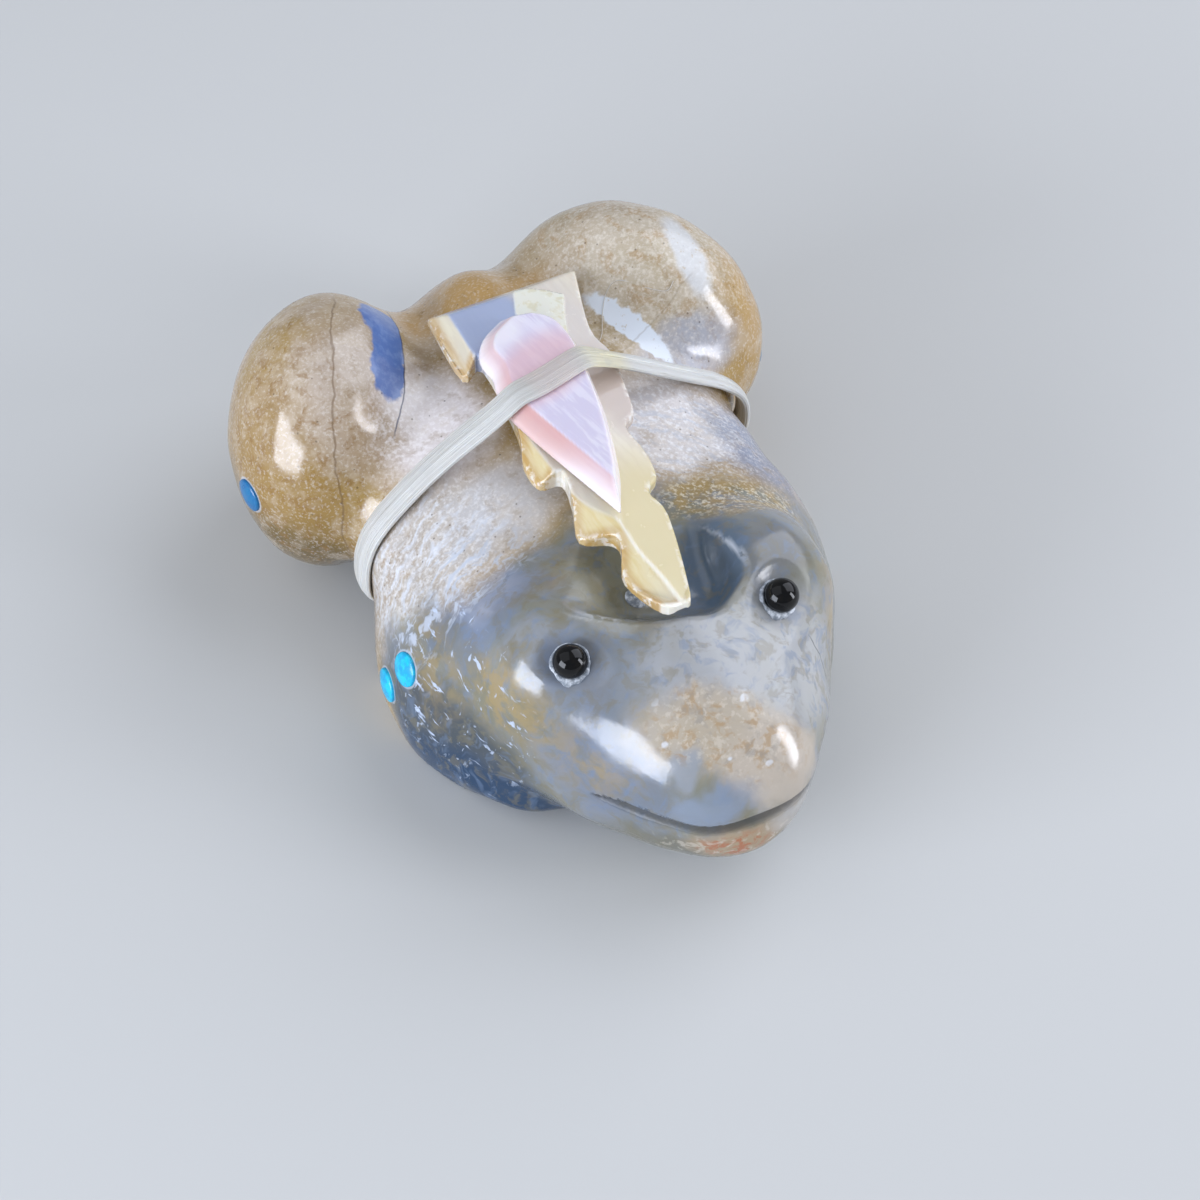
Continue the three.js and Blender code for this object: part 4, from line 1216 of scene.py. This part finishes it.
def fibre_tree():
    """Geometry Nodes that lay a flat bundle of round fibres along a path: each fibre keeps its own
    share of the width, from -1 to 1, in the upper or the lower layer, and wanders a little."""
    tree = bpy.data.node_groups.new("bundle_of_fibres", "GeometryNodeTree")
    tree.interface.new_socket("Path", in_out="INPUT", socket_type="NodeSocketGeometry")
    for name, (kind, value) in fibre_inputs.items():
        socket = tree.interface.new_socket(name, in_out="INPUT", socket_type=kind)
        if value is not None:
            socket.default_value = value
    tree.interface.new_socket("Bundle", in_out="OUTPUT", socket_type="NodeSocketGeometry")
    given = add(tree, "NodeGroupInput").outputs

    index = add(tree, "GeometryNodeInputIndex").outputs[0]
    last = add(tree, "ShaderNodeMath", {0: given["Fibres"], 1: 1.0}, operation="SUBTRACT").outputs[0]
    spacing = {0: index, from_low: 0.0, from_high: last, to_low: -1.0, to_high: 1.0}
    place_across = add(tree, "ShaderNodeMapRange", spacing).outputs[0]
    odd = add(tree, "ShaderNodeMath", {0: index, 1: 2.0}, operation="MODULO").outputs[0]
    above_or_below = {0: odd, 1: 2.0, 2: -1.0}
    own_layer = add(tree, "ShaderNodeMath", above_or_below, operation="MULTIPLY_ADD").outputs[0]
    in_one_place = {"Count": given["Fibres"], "Offset": (0, 0, 0)}
    starts = add(tree, "GeometryNodeMeshLine", in_one_place).outputs[0]
    on_points = {"data_type": "FLOAT", "domain": "POINT"}
    for name, value in (("strand", place_across), ("layer", own_layer)):
        stored = {"Geometry": starts, "Name": name, "Value": value}
        starts = add(tree, "GeometryNodeStoreNamedAttribute", stored, **on_points).outputs[0]

    path = add(tree, "GeometryNodeMeshToCurve", {"Mesh": given["Path"]}).outputs[0]
    copies = add(tree, "GeometryNodeInstanceOnPoints", {"Points": starts, "Instance": path}).outputs[0]
    fibres = add(tree, "GeometryNodeRealizeInstances", {"Geometry": copies}).outputs[0]

    kept_kinds = {
        "strand": "FLOAT", "layer": "FLOAT", "half_width": "FLOAT", "parting": "FLOAT",
        "out": "FLOAT_VECTOR", "across": "FLOAT_VECTOR",
    }
    strand, layer, half_width, parting, out, across = [
        add(tree, "GeometryNodeInputNamedAttribute", {"Name": name}, data_type=kind).outputs["Attribute"]
        for name, kind in kept_kinds.items()
    ]
    side = add(tree, "ShaderNodeMath", {0: strand}, operation="SIGN").outputs[0]
    parted = add(tree, "ShaderNodeMath", {0: side, 1: parting}, operation="MULTIPLY").outputs[0]
    spread = {0: strand, 1: half_width, 2: parted}
    sideways = add(tree, "ShaderNodeMath", spread, operation="MULTIPLY_ADD").outputs[0]
    squared = add(tree, "ShaderNodeMath", {0: strand, 1: strand}, operation="MULTIPLY").outputs[0]
    rest = add(tree, "ShaderNodeMath", {0: 1.0, 1: squared}, operation="SUBTRACT").outputs[0]
    crown = add(tree, "ShaderNodeMath", {0: rest, 1: 0.5}, operation="POWER").outputs[0]
    lift = add(tree, "ShaderNodeMath", {0: crown, 1: layer}, operation="MULTIPLY").outputs[0]
    halved = {0: given["Thickness"], 1: 0.5}
    half_thick = add(tree, "ShaderNodeMath", halved, operation="MULTIPLY").outputs[0]
    outwards = add(tree, "ShaderNodeMath", {0: lift, 1: half_thick}, operation="MULTIPLY").outputs[0]

    place = add(tree, "GeometryNodeInputPosition").outputs[0]
    one_over_length = {0: 1.0, 1: given["Wander length"]}
    fineness = add(tree, "ShaderNodeMath", one_over_length, operation="DIVIDE").outputs[0]
    own_draw = add(tree, "ShaderNodeMath", {0: strand, 1: 60.0}, operation="MULTIPLY").outputs[0]
    noise = {"Vector": place, "W": own_draw, "Scale": fineness, "Detail": 1.0}
    stray = add(tree, "ShaderNodeTexNoise", noise, noise_dimensions="4D").outputs["Color"]
    centring = {0: stray, 1: (0.5, 0.5, 0.5)}
    centred = add(tree, "ShaderNodeVectorMath", centring, operation="SUBTRACT").outputs[0]
    double = add(tree, "ShaderNodeMath", {0: given["Wander"], 1: 2.0}, operation="MULTIPLY").outputs[0]
    wander = {0: centred, "Scale": double}
    offset = add(tree, "ShaderNodeVectorMath", wander, operation="SCALE").outputs[0]
    for direction, amount in ((across, sideways), (out, outwards)):
        push = {0: direction, "Scale": amount}
        push = add(tree, "ShaderNodeVectorMath", push, operation="SCALE").outputs[0]
        offset = add(tree, "ShaderNodeVectorMath", {0: offset, 1: push}, operation="ADD").outputs[0]
    fibres = add(tree, "GeometryNodeSetPosition", {"Geometry": fibres, "Offset": offset}).outputs[0]

    round_section = {"Resolution": 6, "Radius": given["Fibre radius"]}
    section = add(tree, "GeometryNodeCurvePrimitiveCircle", round_section, mode="RADIUS").outputs[0]
    tube = {"Curve": fibres, "Profile Curve": section, "Fill Caps": True}
    mesh = add(tree, "GeometryNodeCurveToMesh", tube).outputs[0]
    shaded = {"Geometry": mesh, "Shade Smooth": True}
    smooth = add(tree, "GeometryNodeSetShadeSmooth", shaded).outputs[0]
    solid = add(tree, "GeometryNodeRealizeInstances", {"Geometry": smooth}).outputs[0]
    finished = {"Geometry": solid, "Material": given["Material"]}
    bundle = add(tree, "GeometryNodeSetMaterial", finished).outputs[0]
    add(tree, "NodeGroupOutput", {"Bundle": bundle})
    return tree


def bundle(name, path, tree, sizes, nodes=()):
    """Runs the fibre tree along a path and hands the plain mesh over."""
    bpy.context.scene.collection.objects.link(path)
    modifier = path.modifiers.new("fibres", "NODES")
    modifier.node_group = tree
    inputs = [item for item in tree.interface.items_tree if item.in_out == "INPUT"]
    sockets = {item.name: item.identifier for item in inputs}
    for key, value in {**sizes, "Material": sinew}.items():
        modifier[sockets[key]] = value
    evaluated = path.evaluated_get(bpy.context.evaluated_depsgraph_get())
    mesh = bpy.data.meshes.new_from_object(evaluated)
    mesh.name = name
    path.modifiers.remove(modifier)
    bpy.data.objects.remove(path)
    return hand_over(bpy.data.objects.new(name, mesh), sinew, nodes)


def sinew_band(tree):
    line = taut_line(np.vstack([stone_corners, gold_corners, pink_corners]))
    u, z = line.T
    along, across = sheet_axes()
    v = drawn_forward(u, z)
    upward = np.array([0, 0, 1])
    points = (0, waist_at, 0) + u[:, None] * along + v[:, None] * across + z[:, None] * upward
    run = np.roll(points, -1, axis=0) - np.roll(points, 1, axis=0)
    run /= np.linalg.norm(run, axis=1)[:, None]
    sideways = across - (run @ across)[:, None] * run
    sideways /= np.linalg.norm(sideways, axis=1)[:, None]
    narrowed = ramp(u, *sinew_narrow_across) * ramp(z, *sinew_narrow_above)
    half_width = sinew_width / 2 * (1 - (1 - sinew_narrow) * narrowed)
    out = np.cross(sideways, run)
    out *= np.sign((out * (points - points.mean(axis=0))).sum(axis=1).mean())
    path = fibre_path("sinew_path", points, out, sideways, half_width, sinew_parting * narrowed, True)
    return bundle("waxed_sinew_band", path, tree, {
        "Fibres": sinew_fibres,
        "Fibre radius": fibre_radius * millimetre,
        "Thickness": sinew_thickness * millimetre,
        "Wander": fibre_wander * millimetre,
        "Wander length": fibre_wander_length * millimetre,
    }, ["sinew_tie"])


def stray_fibre(tree):
    """The loose fibre, which lies on the stone."""
    seats = [on_back(*place) for place in stray_line]
    points = curved([point + 1.5 * stray_radius * normal for point, normal in seats], 6)
    out = np.tile((0.0, 0.0, 1.0), (len(points), 1))
    nothing = np.zeros(len(points))
    path = fibre_path("stray_path", points, out, out, nothing, nothing, False)
    sizes = {"Fibres": 1, "Fibre radius": stray_radius * millimetre}
    return bundle("stray_sinew_fibre", path, tree, sizes)


sinew_tree = fibre_tree()
sinew_band(sinew_tree)
stray_fibre(sinew_tree)


# Glue

def glue_ring(name, segments=72, sides=10):
    """A lumpy bead of glue round the foot of an eye, fullest on the side towards the snout."""
    point, normal = eye_seats[name]
    turn = np.array(Vector((0, 0, 1)).rotation_difference(Vector(normal)).to_matrix())
    fullest = math.atan2(*(turn.T @ np.array(glue_fullest_towards))[1::-1])
    corners = []
    for n in range(segments):
        angle = 2 * math.pi * n / segments
        lumps = sum(height * math.sin(many * angle + start) for height, many, start in glue_lumps)
        share = (0.5 + 0.5 * math.cos(angle - fullest)) ** 2
        radius = (glue_width + (glue_fullest - glue_width) * share) * (1 + lumps)
        around = bead_radius + 0.3 * radius
        outward = turn @ np.array([math.cos(angle), math.sin(angle), 0])
        seat = point + around * outward
        for _ in range(12):
            seat = seat - to_stone(*seat) * normal
        for side in range(sides):
            tilt = 2 * math.pi * side / sides
            corners.append(seat + radius * (math.cos(tilt) * outward + math.sin(tilt) * normal))
    faces = []
    for n in range(segments):
        for side in range(sides):
            here, there = n * sides, (n + 1) % segments * sides
            after = (side + 1) % sides
            faces.append([here + side, there + side, there + after, here + after])
    return piece_of(f"{name}_eye_glue", np.array(corners), faces, glue)


for name in sides_of_frog:
    glue_ring(name)

corners, faces = turned([(0, -0.3), *glue_flake], on_back(*glue_flake_place), 24)
piece_of("tip_glue_flake", corners, faces, glue)


# Floor, light and camera

def area_light(name, direction, distance, size, power, colour):
    light = bpy.data.lights.new(name, "AREA")
    light.shape = "RECTANGLE"
    light.size, light.size_y = [side * millimetre for side in size]
    light.energy = power
    light.color = linear(colour)[:3]
    lamp = bpy.data.objects.new(name, light)
    target = Vector(into_frame(camera_target))
    away = Vector(direction).normalized()
    lamp.location = target + away * distance * millimetre
    lamp.rotation_euler = away.to_track_quat("Z", "Y").to_euler()
    bpy.context.scene.collection.objects.link(lamp)


def studio():
    half = floor_half * millimetre
    mesh = bpy.data.meshes.new("floor")
    corners = [(-half, -half, 0), (half, -half, 0), (half, half, 0), (-half, half, 0)]
    mesh.from_pydata(corners, [], [(0, 1, 2, 3)])
    floor = bpy.data.objects.new("floor", mesh)
    floor.data.materials.append(matt_floor())
    bpy.context.scene.collection.objects.link(floor)
    world = bpy.data.worlds.new("soft_room")
    world.use_nodes = True
    background = world.node_tree.nodes["Background"]
    background.inputs["Color"].default_value = linear(room_colour)
    background.inputs["Strength"].default_value = room_strength
    bpy.context.scene.world = world
    for name, lamp in lamps.items():
        area_light(name, *lamp)


def photo_camera():
    azimuth, elevation = math.radians(camera_azimuth), math.radians(camera_elevation)
    level_reach = math.cos(elevation)
    back = Vector((math.sin(azimuth), -math.cos(azimuth), 0)) * level_reach
    back.z = math.sin(elevation)
    right = Vector((math.cos(azimuth), math.sin(azimuth), 0))
    up = back.cross(right)
    middle = picture_width / 2
    aside = (middle - target_pixel[0]) / focal_pixels
    above = (target_pixel[1] - middle) / focal_pixels
    away = (back - aside * right - above * up).normalized()
    level = (right - away * right.dot(away)).normalized()
    camera = bpy.data.cameras.new("camera")
    camera.sensor_width = sensor_width
    camera.lens = focal_pixels / picture_width * sensor_width
    camera.clip_start = nearest_seen * millimetre
    holder = bpy.data.objects.new("camera", camera)
    holder.location = Vector(into_frame(camera_target)) + back * camera_distance * millimetre
    holder.rotation_euler = Matrix((level, away.cross(level), away)).transposed().to_euler()
    bpy.context.scene.collection.objects.link(holder)
    bpy.context.scene.camera = holder


studio()
photo_camera()
bpy.context.scene.view_settings.view_transform = "Standard"
